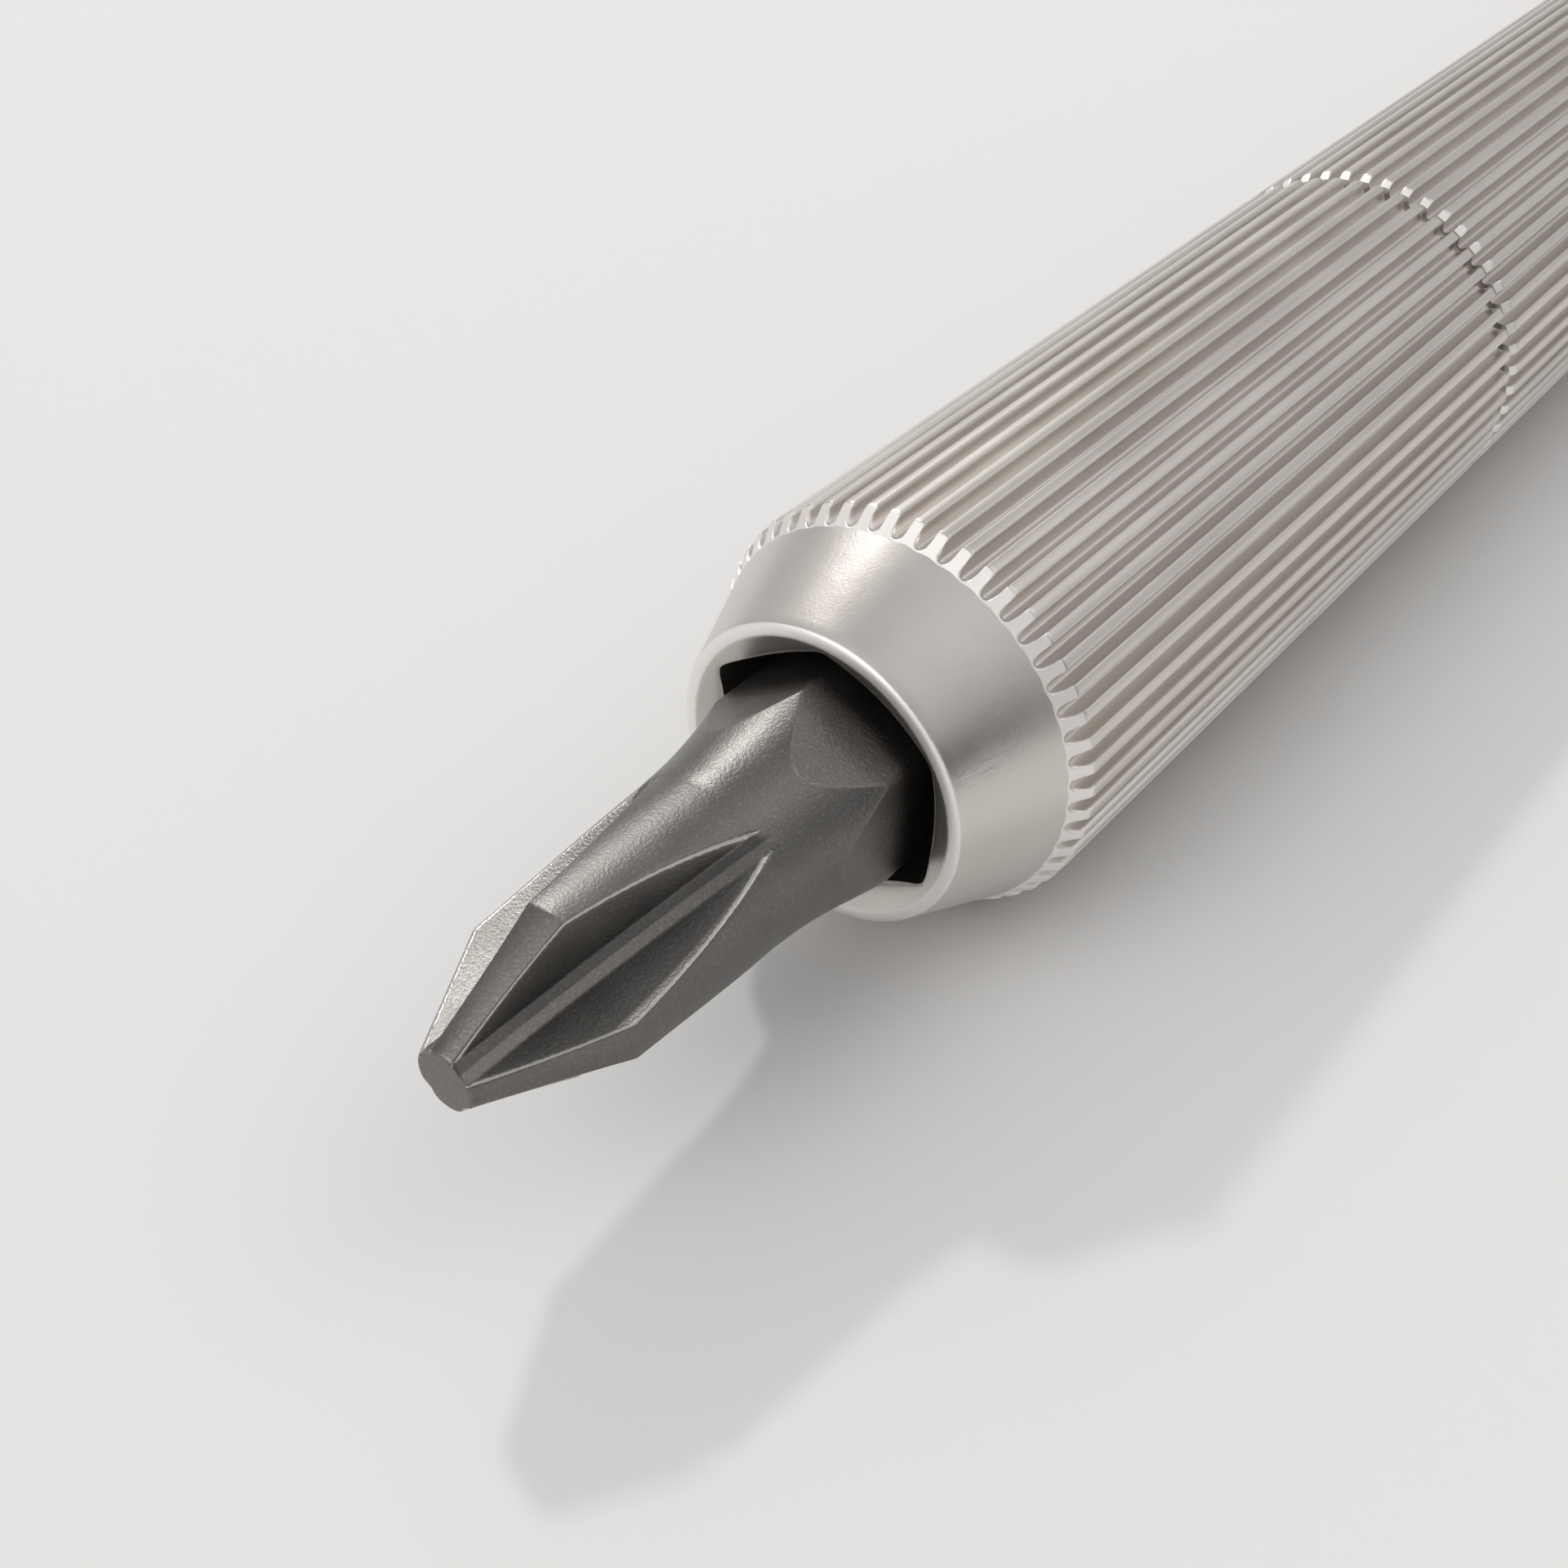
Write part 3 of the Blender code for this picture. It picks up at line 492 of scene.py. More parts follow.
@dataclass(frozen=True)
class Effects:
    """The shader node groups that the finishes share."""

    blasted: Tree
    wear: Tree
    turned: Tree

    @classmethod
    def build(cls) -> "Effects":
        """Builds each group once."""
        return cls(blasted=blasted_group(), wear=wear_group(), turned=turned_group())


@dataclass(frozen=True)
class Finish:
    """What every finish has.

    Attributes:
        name: The material's name.
        slot: The record's material slot it belongs to.
        colour: Its main colour.
        second: The colour of its patches.
        roughness: Its roughness.
    """

    name: str
    slot: str
    colour: Colour
    second: Colour
    roughness: float

    def start(self, metallic: float = 1.0) -> tuple[Material, Nodes]:
        """Starts the material.

        Args:
            metallic: 1 for a metal and 0 for a polymer.

        Returns:
            The material and the helper of its tree.
        """
        made = bpy.data.materials.new(self.name)
        made.use_nodes = True
        made.diffuse_color = (*self.colour, 1.0)
        nodes = Nodes(made.node_tree)
        nodes.shader.inputs["Metallic"].default_value = metallic
        return made, nodes

    def group(self, nodes: Nodes, tree: Tree, **values: float) -> Node:
        """Places a shared effect with this finish's own values.

        Args:
            nodes: Helper of the material's tree.
            tree: The effect's group.
            **values: The group's inputs by name.

        Returns:
            The group's node.
        """
        node = nodes.add("Group")
        node.node_tree = tree
        for key, value in values.items():
            node.inputs[key].default_value = value
        return node

    def bump(self, nodes: Nodes, height: Socket, strength: float, depth: float) -> None:
        """Gives the surface its relief.

        Args:
            nodes: Helper of the material's tree.
            height: Socket with the height, as a share of the depth.
            strength: Strength of the bump.
            depth: Depth of the relief, in millimetres.
        """
        bump = nodes.add("Bump", Strength=strength, Distance=depth * MM)
        nodes.link(height, bump.inputs["Height"])
        nodes.link(bump.outputs["Normal"], nodes.shader.inputs["Normal"])

    def coat(self, nodes: Nodes, skin: Node, spread: float) -> None:
        """Links the patches of colour and of roughness.

        Args:
            nodes: Helper of the material's tree.
            skin: The skin's group, which gives the patches.
            spread: How much the roughness varies over them.
        """
        patches = nodes.span(skin.outputs["Patches"], 0.3, 0.7)
        nodes.link(nodes.mix(patches, self.colour, self.second), nodes.shader.inputs["Base Color"])
        low, high = self.roughness - spread, self.roughness + spread
        rough = nodes.mix(patches, low, high, is_colour=False)
        nodes.link(rough, nodes.shader.inputs["Roughness"])


@dataclass(frozen=True)
class BlastedMetal(Finish):
    """A bead-blasted metal with bright edges: abrasion on the steel, painted highlight on the
    aluminium.

    Attributes:
        grain: Size of the blasted pits, in millimetres.
        relief: Depth of the pits, in millimetres.
        wave: Share of the soft waviness.
        scuffs: Share of the scuffed patches' fine scratches.
        worn_and_highlit: Colour of the bright edges: abrasion on the steel, painted highlight on
            the aluminium.
        worn_roughness: Roughness of the bright edges.
        wear: How much of the edges is painted bright, as abrasion and as painted highlight.
        spread: How much the roughness varies over the patches.
        specks: How bright the pits' facets sparkle.
    """

    grain: float
    relief: float
    wave: float
    scuffs: float
    worn_and_highlit: Colour
    worn_roughness: float
    wear: float
    spread: float = 0.06
    specks: float = 0.0

    def build(self, effects: Effects) -> Material:
        """Builds the material.

        Args:
            effects: The shared node groups.

        Returns:
            The material.
        """
        made, nodes = self.start()
        values = {"Grain": self.grain, "Wave": self.wave, "Scuffs": self.scuffs}
        skin = self.group(nodes, effects.blasted, **values)
        rubbed_and_highlit = self.group(nodes, effects.wear, Amount=self.wear).outputs["Rubbed"]
        patches = nodes.span(skin.outputs["Patches"], 0.3, 0.7)
        body = nodes.mix(patches, self.colour, self.second)
        specks = nodes.math("MULTIPLY", skin.outputs["Specks"], self.specks)
        bright = nodes.math("MAXIMUM", rubbed_and_highlit, specks)
        # Bright edges: abrasion on the steel, painted highlight on the aluminium's lip, crease,
        # ridges and bevels.
        nodes.link(nodes.mix(bright, body, self.worn_and_highlit), nodes.shader.inputs["Base Color"])
        low, high = self.roughness - self.spread, self.roughness + self.spread
        rough = nodes.mix(patches, low, high, is_colour=False)
        rough = nodes.mix(rubbed_and_highlit, rough, self.worn_roughness, is_colour=False)
        nodes.link(rough, nodes.shader.inputs["Roughness"])
        self.bump(nodes, skin.outputs["Relief"], 1.0, self.relief)
        return made


@dataclass(frozen=True)
class TurnedMetal(Finish):
    """A lathe-turned metal.

    Attributes:
        pitch: Spacing of the lathe rings, in millimetres.
        relief: Depth of the rings, in millimetres.
    """

    pitch: float = 0.05
    relief: float = 0.002

    def build(self, effects: Effects) -> Material:
        """Builds the material.

        Args:
            effects: The shared node groups.

        Returns:
            The material.
        """
        made, nodes = self.start()
        rings = self.group(nodes, effects.turned, Pitch=self.pitch)
        self.coat(nodes, self.group(nodes, effects.blasted, Grain=0.2, Wave=0.5, Scuffs=0.1), 0.04)
        self.bump(nodes, rings.outputs["Relief"], 0.6, self.relief)
        return made


@dataclass(frozen=True)
class MouldedPolymer(Finish):
    """A moulded rubber or plastic.

    Attributes:
        grain: Size of its surface grain, in millimetres.
        relief: Depth of the grain, in millimetres.
        sheen: Soft light at grazing angles.
    """

    grain: float = 0.12
    relief: float = 0.003
    sheen: float = 0.0

    def build(self, effects: Effects) -> Material:
        """Builds the material.

        Args:
            effects: The shared node groups.

        Returns:
            The material.
        """
        made, nodes = self.start(metallic=0.0)
        skin = self.group(nodes, effects.blasted, Grain=self.grain, Wave=0.4, Scuffs=0.1)
        self.coat(nodes, skin, 0.05)
        nodes.shader.inputs["Sheen Weight"].default_value = self.sheen
        self.bump(nodes, skin.outputs["Relief"], 0.5, self.relief)
        return made


# Its bright edge colour is a painted highlight on the lip, crease, countersink edge, ridge edges
# and bevels.
ALUMINIUM = BlastedMetal(
    name="blasted_aluminium",
    slot="aluminium",
    colour=(0.67, 0.632, 0.598),
    second=(0.70, 0.663, 0.628),
    roughness=0.33,
    grain=0.05,
    relief=0.0022,
    wave=1.2,
    scuffs=2.4,
    worn_and_highlit=(0.90, 0.875, 0.85),
    worn_roughness=0.50,
    wear=1.0,
    spread=0.03,
)
TOOL_STEEL = BlastedMetal(
    name="blasted_tool_steel",
    slot="tool_steel",
    colour=(0.15, 0.143, 0.136),
    second=(0.185, 0.177, 0.168),
    roughness=0.36,
    grain=0.06,
    relief=0.008,
    wave=0.6,
    scuffs=0.3,
    worn_and_highlit=(0.52, 0.51, 0.49),
    worn_roughness=0.3,
    wear=1.0,
    spread=0.05,
    specks=0.15,
)
# The socket's near-black colour is partly blackened steel and partly painted shade of the deep hex.
SOCKET_STEEL_AND_PAINTED_SHADE = TurnedMetal(
    "blackened_steel_and_painted_shade", "socket_steel", (0.085, 0.083, 0.08), (0.11, 0.107, 0.103), 0.42
)
MAGNET_NICKEL = TurnedMetal(
    "nickel_plate", "magnet_nickel", (0.62, 0.60, 0.56), (0.58, 0.56, 0.52), 0.22
)
BEARING_STEEL = TurnedMetal(
    "bearing_steel", "bearing_steel", (0.55, 0.55, 0.56), (0.50, 0.50, 0.51), 0.16
)
SHIELD_STEEL = TurnedMetal(
    "pressed_sheet", "shield_steel", (0.45, 0.45, 0.46), (0.40, 0.40, 0.41), 0.30
)
CAGE_BRASS = TurnedMetal(
    "turned_brass", "cage_brass", (0.60, 0.45, 0.20), (0.54, 0.40, 0.18), 0.32
)
SCREW_STEEL = TurnedMetal(
    "turned_steel", "screw_steel", (0.42, 0.41, 0.40), (0.38, 0.37, 0.36), 0.26
)
BLACK_RUBBER = MouldedPolymer(
    "black_rubber", "black_rubber", (0.018, 0.018, 0.018), (0.026, 0.026, 0.026), 0.62, sheen=0.2
)
GREY_PLASTIC = MouldedPolymer(
    "grey_plastic", "grey_plastic", (0.28, 0.28, 0.28), (0.31, 0.31, 0.31), 0.5
)
WHITE_NYLON = MouldedPolymer(
    "white_nylon", "white_nylon", (0.74, 0.73, 0.69), (0.70, 0.69, 0.65), 0.42
)
METALS = (ALUMINIUM, TOOL_STEEL, SOCKET_STEEL_AND_PAINTED_SHADE, MAGNET_NICKEL, BEARING_STEEL, SHIELD_STEEL)
FINISHES = (*METALS, CAGE_BRASS, SCREW_STEEL, BLACK_RUBBER, GREY_PLASTIC, WHITE_NYLON)


@dataclass
class Workshop:
    """What every sub-assembly builds with: the axis and the finished materials."""

    axis: ToolAxis
    materials: dict[str, Material]

    @classmethod
    def open(cls) -> "Workshop":
        """Finds the axis and builds every finish once."""
        effects = Effects.build()
        return cls(find_axis(), {finish.slot: finish.build(effects) for finish in FINISHES})

    def paint(self, shown: Piece, finish: Finish) -> None:
        """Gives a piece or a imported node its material."""
        shown.data.materials.clear()
        shown.data.materials.append(self.materials[finish.slot])

    def dress(self, piece: Piece, finish: Finish, body: Body, node: str) -> None:
        """Gives a new piece its finish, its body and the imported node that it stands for.

        Args:
            piece: The new piece.
            finish: Its finish.
            body: The body it rides on.
            node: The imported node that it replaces.
        """
        self.paint(piece, finish)
        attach(piece, body.value)
        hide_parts(node)
        log.info("%s rides on %s", piece.name, body.value)

    def dress_node(self, node: str, finish: Finish) -> None:
        """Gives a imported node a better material."""
        self.paint(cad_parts[node], finish)
        log.info("%s keeps its packed shape", node)


@dataclass
class Flutes:
    """The straight grooves round the handle.

    Attributes:
        count: Number of grooves.
        radius: Radius of the ridges.
        half_width: Half of a groove's width at the ridges.
        depth: Depth of a groove.
        fullness: How boxy a groove's section is.
        edge: Rounding of the ridge edges.
        rub_and_highlight: How bright the ridge edges are painted: painted highlight.
        bevel_reach: Depth under the ridges where the outline counts as a bevel and gets the painted
            highlight.
        first: Angle of the first groove.
        spacing: Places of the points across half a groove and half a ridge.
    """

    count: int = 51
    radius: float = 4.40
    half_width: float = 0.152
    depth: float = 0.33
    fullness: float = 2.4
    edge: float = 0.024
    rub_and_highlight: float = 0.3
    bevel_reach: float = 0.03
    first: float = math.radians(-0.3)
    spacing: tuple[float, ...] = (
        0.0, 0.028, 0.053, 0.076, 0.096, 0.112, 0.125, 0.136, 0.145, 0.155, 0.167, 0.195
    )

    @property
    def columns(self) -> int:
        """Number of points round the handle."""
        return self.count * 2 * len(self.spacing)

    def spot(self, column: int) -> tuple[float, float]:
        """Where a column of points lies.

        Args:
            column: The column's number.

        Returns:
            Its angle and its distance across from the nearest groove's centre, in millimetres.
        """
        half = len(self.spacing)
        pitch = 2 * math.pi / self.count
        middle = pitch * self.radius / 2
        flute, step = divmod(column, 2 * half)
        if step > half:
            across = self.spacing[2 * half - step]
            return self.first + (flute + 1) * pitch - across / self.radius, across
        across = middle if step == half else self.spacing[step]
        return self.first + flute * pitch + across / self.radius, across

    def surface(self, across: float, outside: float, short: float = 0.0) -> tuple[float, float]:
        """The handle's radius where the grooves are cut into a turned outline.

        Its bevels get the full edge colour: partly a bright last cut and partly a painted
        highlight.

        Args:
            across: Distance from the nearest groove's centre.
            outside: Radius of the turned outline.
            short: Distance in front of the centre of the groove's round end.

        Returns:
            The radius and the edge brightness, which is painted highlight.
        """
        share, steepest = math.hypot(across, max(short, 0.0)) / self.half_width, 4.0
        dip = math.sqrt(max(1 - share**self.fullness, 0.0))
        steepness = self.depth * self.fullness * share ** (self.fullness - 1) / 2 / self.half_width
        slope = min(steepness / max(dip, 0.01), steepest)
        groove = self.radius - self.depth * dip + max(share - 1, 0.0) * self.half_width * steepest
        edge = self.edge * (1 + slope)
        # Ridge edges and bevels are painted bright here: painted highlight.
        rubbed_and_highlit = self.rub_and_highlight * nearness(groove, outside, edge)
        bevel = min(max(self.radius - outside, 0.0) / self.bevel_reach, 1.0)
        on_ridge = min(max((groove - outside) / edge + 0.5, 0.0), 1.0)
        return blend_min(groove, outside, edge), max(rubbed_and_highlit, bevel * on_ridge)


def fluted_shell(
    name: str, shop: Workshop, flutes: Flutes, outline: Callable[[float, float], list[Section]]
) -> Piece:
    """A closed shell round the tool, with the grooves in its outside.

    Args:
        name: The piece's name.
        shop: The workshop.
        flutes: The grooves.
        outline: Gives the closed section at an angle and a distance across from the nearest groove.

    Returns:
        The new object.
    """
    spots = [flutes.spot(column) for column in range(flutes.columns)]
    sections = [outline(angle, across) for angle, across in spots]

    def place(row: int, column: int) -> Spot:
        """The point in a row and column of the shell."""
        along, radius, worn_and_highlit = sections[column][row]
        return along, radius, spots[column][0], worn_and_highlit

    return wrap(name, shop.axis, len(sections[0]), flutes.columns, place)


@dataclass
class Nose:
    """The fluted sleeve that screws off, with its cone, lip, countersink and hex mouth.

    Attributes:
        crease: Where the cone meets the bevel in front of the ridges.
        crease_radius: Radius of that crease.
        bulge: How far the crease bulges forward in front of a groove.
        bevel: Slope of the bevel.
        groove_end: Centre of the grooves' round ends.
        back: Where the ridges end at the seam.
        joint: Where the face inside the ridges meets the barrel.
        ring: Radius inside which the back lies at the joint.
    """

    flutes: Flutes = field(default_factory=Flutes)
    back: float = 21.66
    joint: float = 21.59
    ring: float = 4.02
    lip_inner: float = 2.98
    lip_outer: float = 3.235
    lip_depth: float = 0.075
    crease_radius: float = 4.105
    crease: float = 2.248
    bulge: float = 0.026
    bevel: float = math.radians(34.0)
    bevel_blend: float = 0.03
    groove_end: float = 2.35
    mouth_flats: float = 4.90
    mouth_depth: float = 2.60
    mouth_corner: float = 0.10
    sink_angle: float = math.radians(60.0)
    bore: float = 3.10
    edge: float = 0.03

    def cone(self, along: float) -> float:
        """Radius of the cone between the lip and the crease."""
        slope = (self.crease_radius - self.lip_outer) / (self.crease - self.lip_depth)
        return self.lip_outer + (along - self.lip_depth) * slope

    def front(self, across: float) -> float:
        """Where the crease lies, with its bulges in front of the grooves."""
        pitch = 2 * math.pi * self.flutes.radius / self.flutes.count
        return self.crease - self.bulge * math.cos(math.pi * across / pitch) ** 2

    def skin(self, along: float, across: float) -> Section:
        """A point of the fluted skin behind the crease.

        Args:
            along: Its place.
            across: Its distance from the nearest groove's centre.

        Returns:
            Its along, radius and edge brightness, a painted highlight.
        """
        front = self.front(across)
        rise = self.cone(front) + (along - front) * math.tan(self.bevel)
        back = self.flutes.radius - max(along - self.back + self.edge, 0.0)
        outside = min(blend_min(rise, self.flutes.radius, self.bevel_blend), back)
        radius, worn_and_highlit = self.flutes.surface(across, outside, self.groove_end - along)
        return along, radius, worn_and_highlit

    def outline(self, angle: float, across: float) -> list[Section]:
        """One section of the nose, as a closed run of places.

        Args:
            angle: Angle of the section.
            across: Its distance from the nearest groove's centre.

        Returns:
            Along, radius and edge brightness of each point, from the lip over the outside and back
            inside; the bright lip, crease and countersink edge are painted highlight.
        """
        mouth = hex_radius(angle, self.mouth_flats, self.mouth_corner)
        sink = (self.lip_inner - mouth) / math.tan(self.sink_angle)
        # The lip's rims are painted bright with the edge colour: painted highlight.
        points = [
            (0.045, self.lip_inner - 0.078, 0.0),
            (0.012, self.lip_inner - 0.024, 0.5),
            (0.0, self.lip_inner + 0.030, 1.0),
            (0.0, self.lip_outer - 0.120, 0.8),
            (0.008, self.lip_outer - 0.070, 1.0),
            (0.030, self.lip_outer - 0.028, 0.8),
            (self.lip_depth, self.lip_outer, 0.2),
        ]
        front = self.front(across)
        # The crease's last point is painted bright: painted highlight.
        for share in (0.08, 0.3, 0.55, 0.8, 0.96, 0.992, 1.0):
            along = mix(self.lip_depth, front, share)
            points.append((along, self.cone(along), 0.8 if share > 0.995 else 0.0))
        behind = [0.006, 0.014, *(0.026 + 0.017 * step for step in range(24)), 0.44, 0.47, 0.51]
        points += [self.skin(mix(front, self.crease, gap / 0.51) + gap, across) for gap in behind]
        for gap in (0.57, 0.68, 0.9, 4.0, 9.0, 14.0):
            points.append(self.skin(self.crease + gap, across))
        for gap in (0.9, 0.12, self.edge, self.edge * 0.5, 0.0):
            points.append(self.skin(self.back - gap, across))
        points.append((self.back, self.ring, 0.0))
        for radius in (self.ring - 0.03, 3.6, self.bore + 0.06):
            points.append((self.joint, radius, 0.0))
        for along in (self.joint - 0.06, 18.0, 10.0, self.mouth_depth + 0.02):
            points.append((along, self.bore, 0.0))
        points.append((self.mouth_depth, self.bore - 0.02, 0.0))
        points.append((self.mouth_depth, mouth + 0.03, 0.0))
        points.append((self.mouth_depth - 0.03, mouth, 0.0))
        for share in (0.75, 0.5, 0.25, 0.05):
            points.append((mix(sink, self.mouth_depth, share), mouth, 0.0))
        # The countersink's edge is painted bright: painted highlight.
        points.append((sink + 0.012, mouth + 0.004, 0.5))
        points.append((sink, mouth + 0.016, 0.8))
        for share in (0.25, 0.6):
            radius = mix(mouth + 0.016, self.lip_inner - 0.078, share)
            points.append(((self.lip_inner - radius) / math.tan(self.sink_angle), radius, 0.2))
        points.append(points[0])
        return points

    def build(self, shop: Workshop) -> None:
        """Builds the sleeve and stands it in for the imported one."""
        piece = fluted_shell("nose_shell", shop, self.flutes, self.outline)
        shop.dress(piece, ALUMINIUM, Body.NOSE, "nose_sleeve")


@dataclass
class Barrel:
    """The fluted barrel behind the seam, with its stepped bore.

    Attributes:
        front: Place of the face at the seam.
        relief: Width of the narrow relief behind that face, in front of the ridges.
        relief_radius: Radius of the relief's floor.
        bevel: Depth of the ridge ends' bevel at the seam.
        slope: Slope of that bevel.
        end_bevel: Depth of the bevel at the tail.
    """

    flutes: Flutes = field(default_factory=Flutes)
    front: float = 21.61
    relief: float = 0.33
    relief_radius: float = 3.95
    bevel: float = 0.13
    slope: float = math.radians(34.0)
    end_bevel: float = 0.10
    seal_bore: float = 3.33
    seal_depth: float = 1.20
    thread_bore: float = 2.90
    liner_bore: float = 2.95
    bearing_bore: float = 3.05
    thread_end: float = 29.0
    tail_face: float = 3.60
    bevel_blend: float = 0.03

    def build(self, shop: Workshop) -> None:
        """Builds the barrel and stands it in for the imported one.

        Args:
            shop: The workshop.
        """
        _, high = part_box("barrel_sleeve")
        low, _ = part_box("bearing_stop")
        end, seat = shop.axis.along(high[0]), shop.axis.along(low[0]) - 0.05
        step = self.front + self.seal_depth
        bore = [
            (end, self.tail_face),
            (end, self.bearing_bore + 0.05),
            (end - 0.05, self.bearing_bore),
            (seat, self.bearing_bore),
            (seat, self.liner_bore),
            (self.thread_end, self.liner_bore),
            (self.thread_end, self.thread_bore),
            (step, self.thread_bore),
            (step, self.seal_bore),
            (self.front + 0.05, self.seal_bore),
            (self.front, self.seal_bore + 0.05),
            (self.front, self.relief_radius - 0.02),
            (self.front + 0.02, self.relief_radius),
            (self.front + self.relief, self.relief_radius),
        ]
        ridges = self.front + self.relief
        gaps = (0.0, 0.015, 0.04, 0.07, 0.10, 0.13, 0.16, 0.18, 0.195, 0.21, 0.23, 0.3, 0.6)
        places = [ridges + gap for gap in gaps]
        places += [mix(self.front, end, share / 10) for share in range(1, 10)]
        places += [end - gap for gap in (0.5, 0.2, 0.13, 0.10, 0.07, 0.035, 0.0)]

        def outline(_: float, across: float) -> list[Section]:
            """One section of the barrel.

            Args:
                _: Angle of the section, not used, as the section is the same all round.
                across: Its distance from the nearest groove's centre.

            Returns:
                Along, radius and edge brightness of each point, over the outside and back inside;
                the edge brightness is painted highlight.
            """
            points = []
            for along in places:
                rise = self.flutes.radius - self.bevel + (along - ridges) * math.tan(self.slope)
                fall = self.flutes.radius - self.end_bevel + (end - along)
                outside = blend_min(min(rise, fall), self.flutes.radius, self.bevel_blend)
                points.append((along, *self.flutes.surface(across, outside)))
            points += [(along, radius, 0.0) for along, radius in bore]
            return [*points, points[0]]

        piece = fluted_shell("barrel_shell", shop, self.flutes, outline)
        shop.dress(piece, ALUMINIUM, Body.BARREL, "barrel_sleeve")


@dataclass
class CrossBit:
    """The hex bit with its ground cross tip.

    Attributes:
        tip: Place of the tip's end face.
        back: Place of the shank's end.
        wheel: Radius of the arc of the groove's floor.
        root: Distance of the groove's floor from the axis at the tip.
        strip: Half of the width of the groove's floor.
    """

    tip: float = -9.62
    back: float = 18.38
    flats: float = 4.00
    neck: float = 1.85
    end: float = 0.60
    taper: float = math.radians(26.5)
    flare: float = math.radians(17.0)
    corner: float = -0.47
    wheel: float = 16.70
    root: float = 0.57
    strip: float = 0.20
    valley: float = math.tan(math.radians(12.0))
    edge: float = 0.12
    shoulder_edge: float = 0.03
    end_round: float = 0.05
    floor_edge: float = 0.03
    hex_edge: float = 0.03
    chamfer: float = 0.45
    flare_blend: float = 0.5
    flare_end: float = 0.6
    scallop_edge: float = 0.012
    scallop_wear: float = 0.5
    columns: int = 384
    groove_rows: int = 84

    @property
    def run_out(self) -> float:
        """Where the groove's floor reaches the neck."""
        rise = self.neck - self.root + self.strip * self.valley
        return self.tip + math.sqrt(self.wheel**2 - (self.wheel - rise) ** 2)

    @property
    def hex_corner(self) -> float:
        """Distance of the hexagon's corners from the axis."""
        return self.flats / 2 / math.cos(math.pi / 6)

    def hexagon(self, angle: float) -> float:
        """Distance of the hexagon from the axis at an angle."""
        return hex_radius(angle, self.flats, self.hex_edge)

    def even(self, column: int) -> float:
        """Angle of a column where the columns stand evenly."""
        return 2 * math.pi * column / self.columns

    def floor(self, along: float) -> float:
        """Distance of a groove's floor from the axis."""
        reach = min(abs(along - self.tip), self.wheel)
        return self.root + self.wheel - math.sqrt(self.wheel**2 - reach * reach)

    def turned(self, along: float) -> float:
        """The turned outline, from the tip over the neck to the flare.

        Args:
            along: Place along the bit.

        Returns:
            Its radius.
        """
        cone = self.end + (along - self.tip) * math.tan(self.taper)
        flare = self.hex_corner + (along - self.corner) * math.tan(self.flare)
        front = blend_min(cone, self.neck, self.shoulder_edge)
        return blend_max(front, flare, self.flare_blend) if along > self.run_out else front

    def groove(self, along: float, off: float) -> tuple[float, float]:
        """Distances of a groove's floor and wall from the axis.

        Args:
            along: Place along the bit.
            off: Angle from the groove's centre.

        Returns:
            The floor's and the wall's distance from the axis.
        """
        edge = self.floor(along)
        lean = math.cos(off) - abs(math.sin(off)) * self.valley
        floor = (edge - self.strip * self.valley) / max(lean, 0.1)
        wall = (edge - self.strip) / math.sqrt(2) / max(math.sin(math.pi / 4 - abs(off)), 0.02)
        return floor, wall

    def spot(self, along: float, angle: float) -> Spot:
        """A point of the bit's surface.

        Args:
            along: Place along the bit.
            angle: Angle round it.

        Returns:
            Its along, radius, angle and wear.
        """
        outline, hexagon = self.turned(along), self.hexagon(angle)
        radius = blend_min(outline, hexagon, self.scallop_edge)
        worn_and_highlit = self.scallop_wear * nearness(outline, hexagon, self.scallop_edge * 2)
        if along < self.run_out + 0.3:
            floor, wall = self.groove(along, (angle % (math.pi / 2)) - math.pi / 4)
            edge = self.edge if wall > floor else self.floor_edge
            if wall > floor:
                worn_and_highlit = max(worn_and_highlit, nearness(radius, wall, self.edge))
            radius = blend_min(radius, blend_max(floor, wall, self.floor_edge), edge)
        return along, radius, angle, worn_and_highlit

    def spread(self, along: float, step: int) -> float:
        """Angle of a column in one eighth of the section, bunched at the groove's edges.

        Args:
            along: Place along the bit.
            step: The column's number, from the wing's middle to the groove's middle.

        Returns:
            The angle from the wing's middle.
        """
        steps = self.columns // 8
        even = math.pi / 4 * step / steps
        floor = self.floor(along)
        half_wing = (floor - self.strip) / math.sqrt(2)
        wing = math.asin(min(half_wing / self.turned(along), math.sin(math.pi / 4) * 0.999))
        strip = max(math.pi / 4 - math.atan2(self.strip, floor), wing + 0.002)
        stops = (0.0, wing, strip, math.pi / 4)
        counts = (0, steps // 3, steps * 3 // 4, steps)
        part = sum(step > count for count in counts[1:3])
        share = (step - counts[part]) / (counts[part + 1] - counts[part])
        if part == 0:
            share = 1 - (1 - share) ** 1.6
        elif part == 1:
            share = smooth(share) * 0.6 + share * 0.4
        relax = smooth(min(max((along - self.run_out + 0.5) / 0.9, 0.0), 1.0))
        return mix(mix(stops[part], stops[part + 1], share), even, relax)

    def rows(self) -> list[float]:
        """Where the rows of points along the tip and the neck lie.

        Returns:
            Their places.
        """
        stops = [self.tip + 0.004, self.tip + 0.014, self.tip + 0.03, self.tip + 0.05]
        shoulder = self.tip + (self.neck - self.end) / math.tan(self.taper)
        for step in range(1, self.groove_rows):
            stops.append(mix(self.tip + 0.05, self.run_out + 0.1, step / self.groove_rows))
        stops += [shoulder - 0.03, shoulder - 0.01, shoulder + 0.01, shoulder + 0.03]
        return sorted(stops)

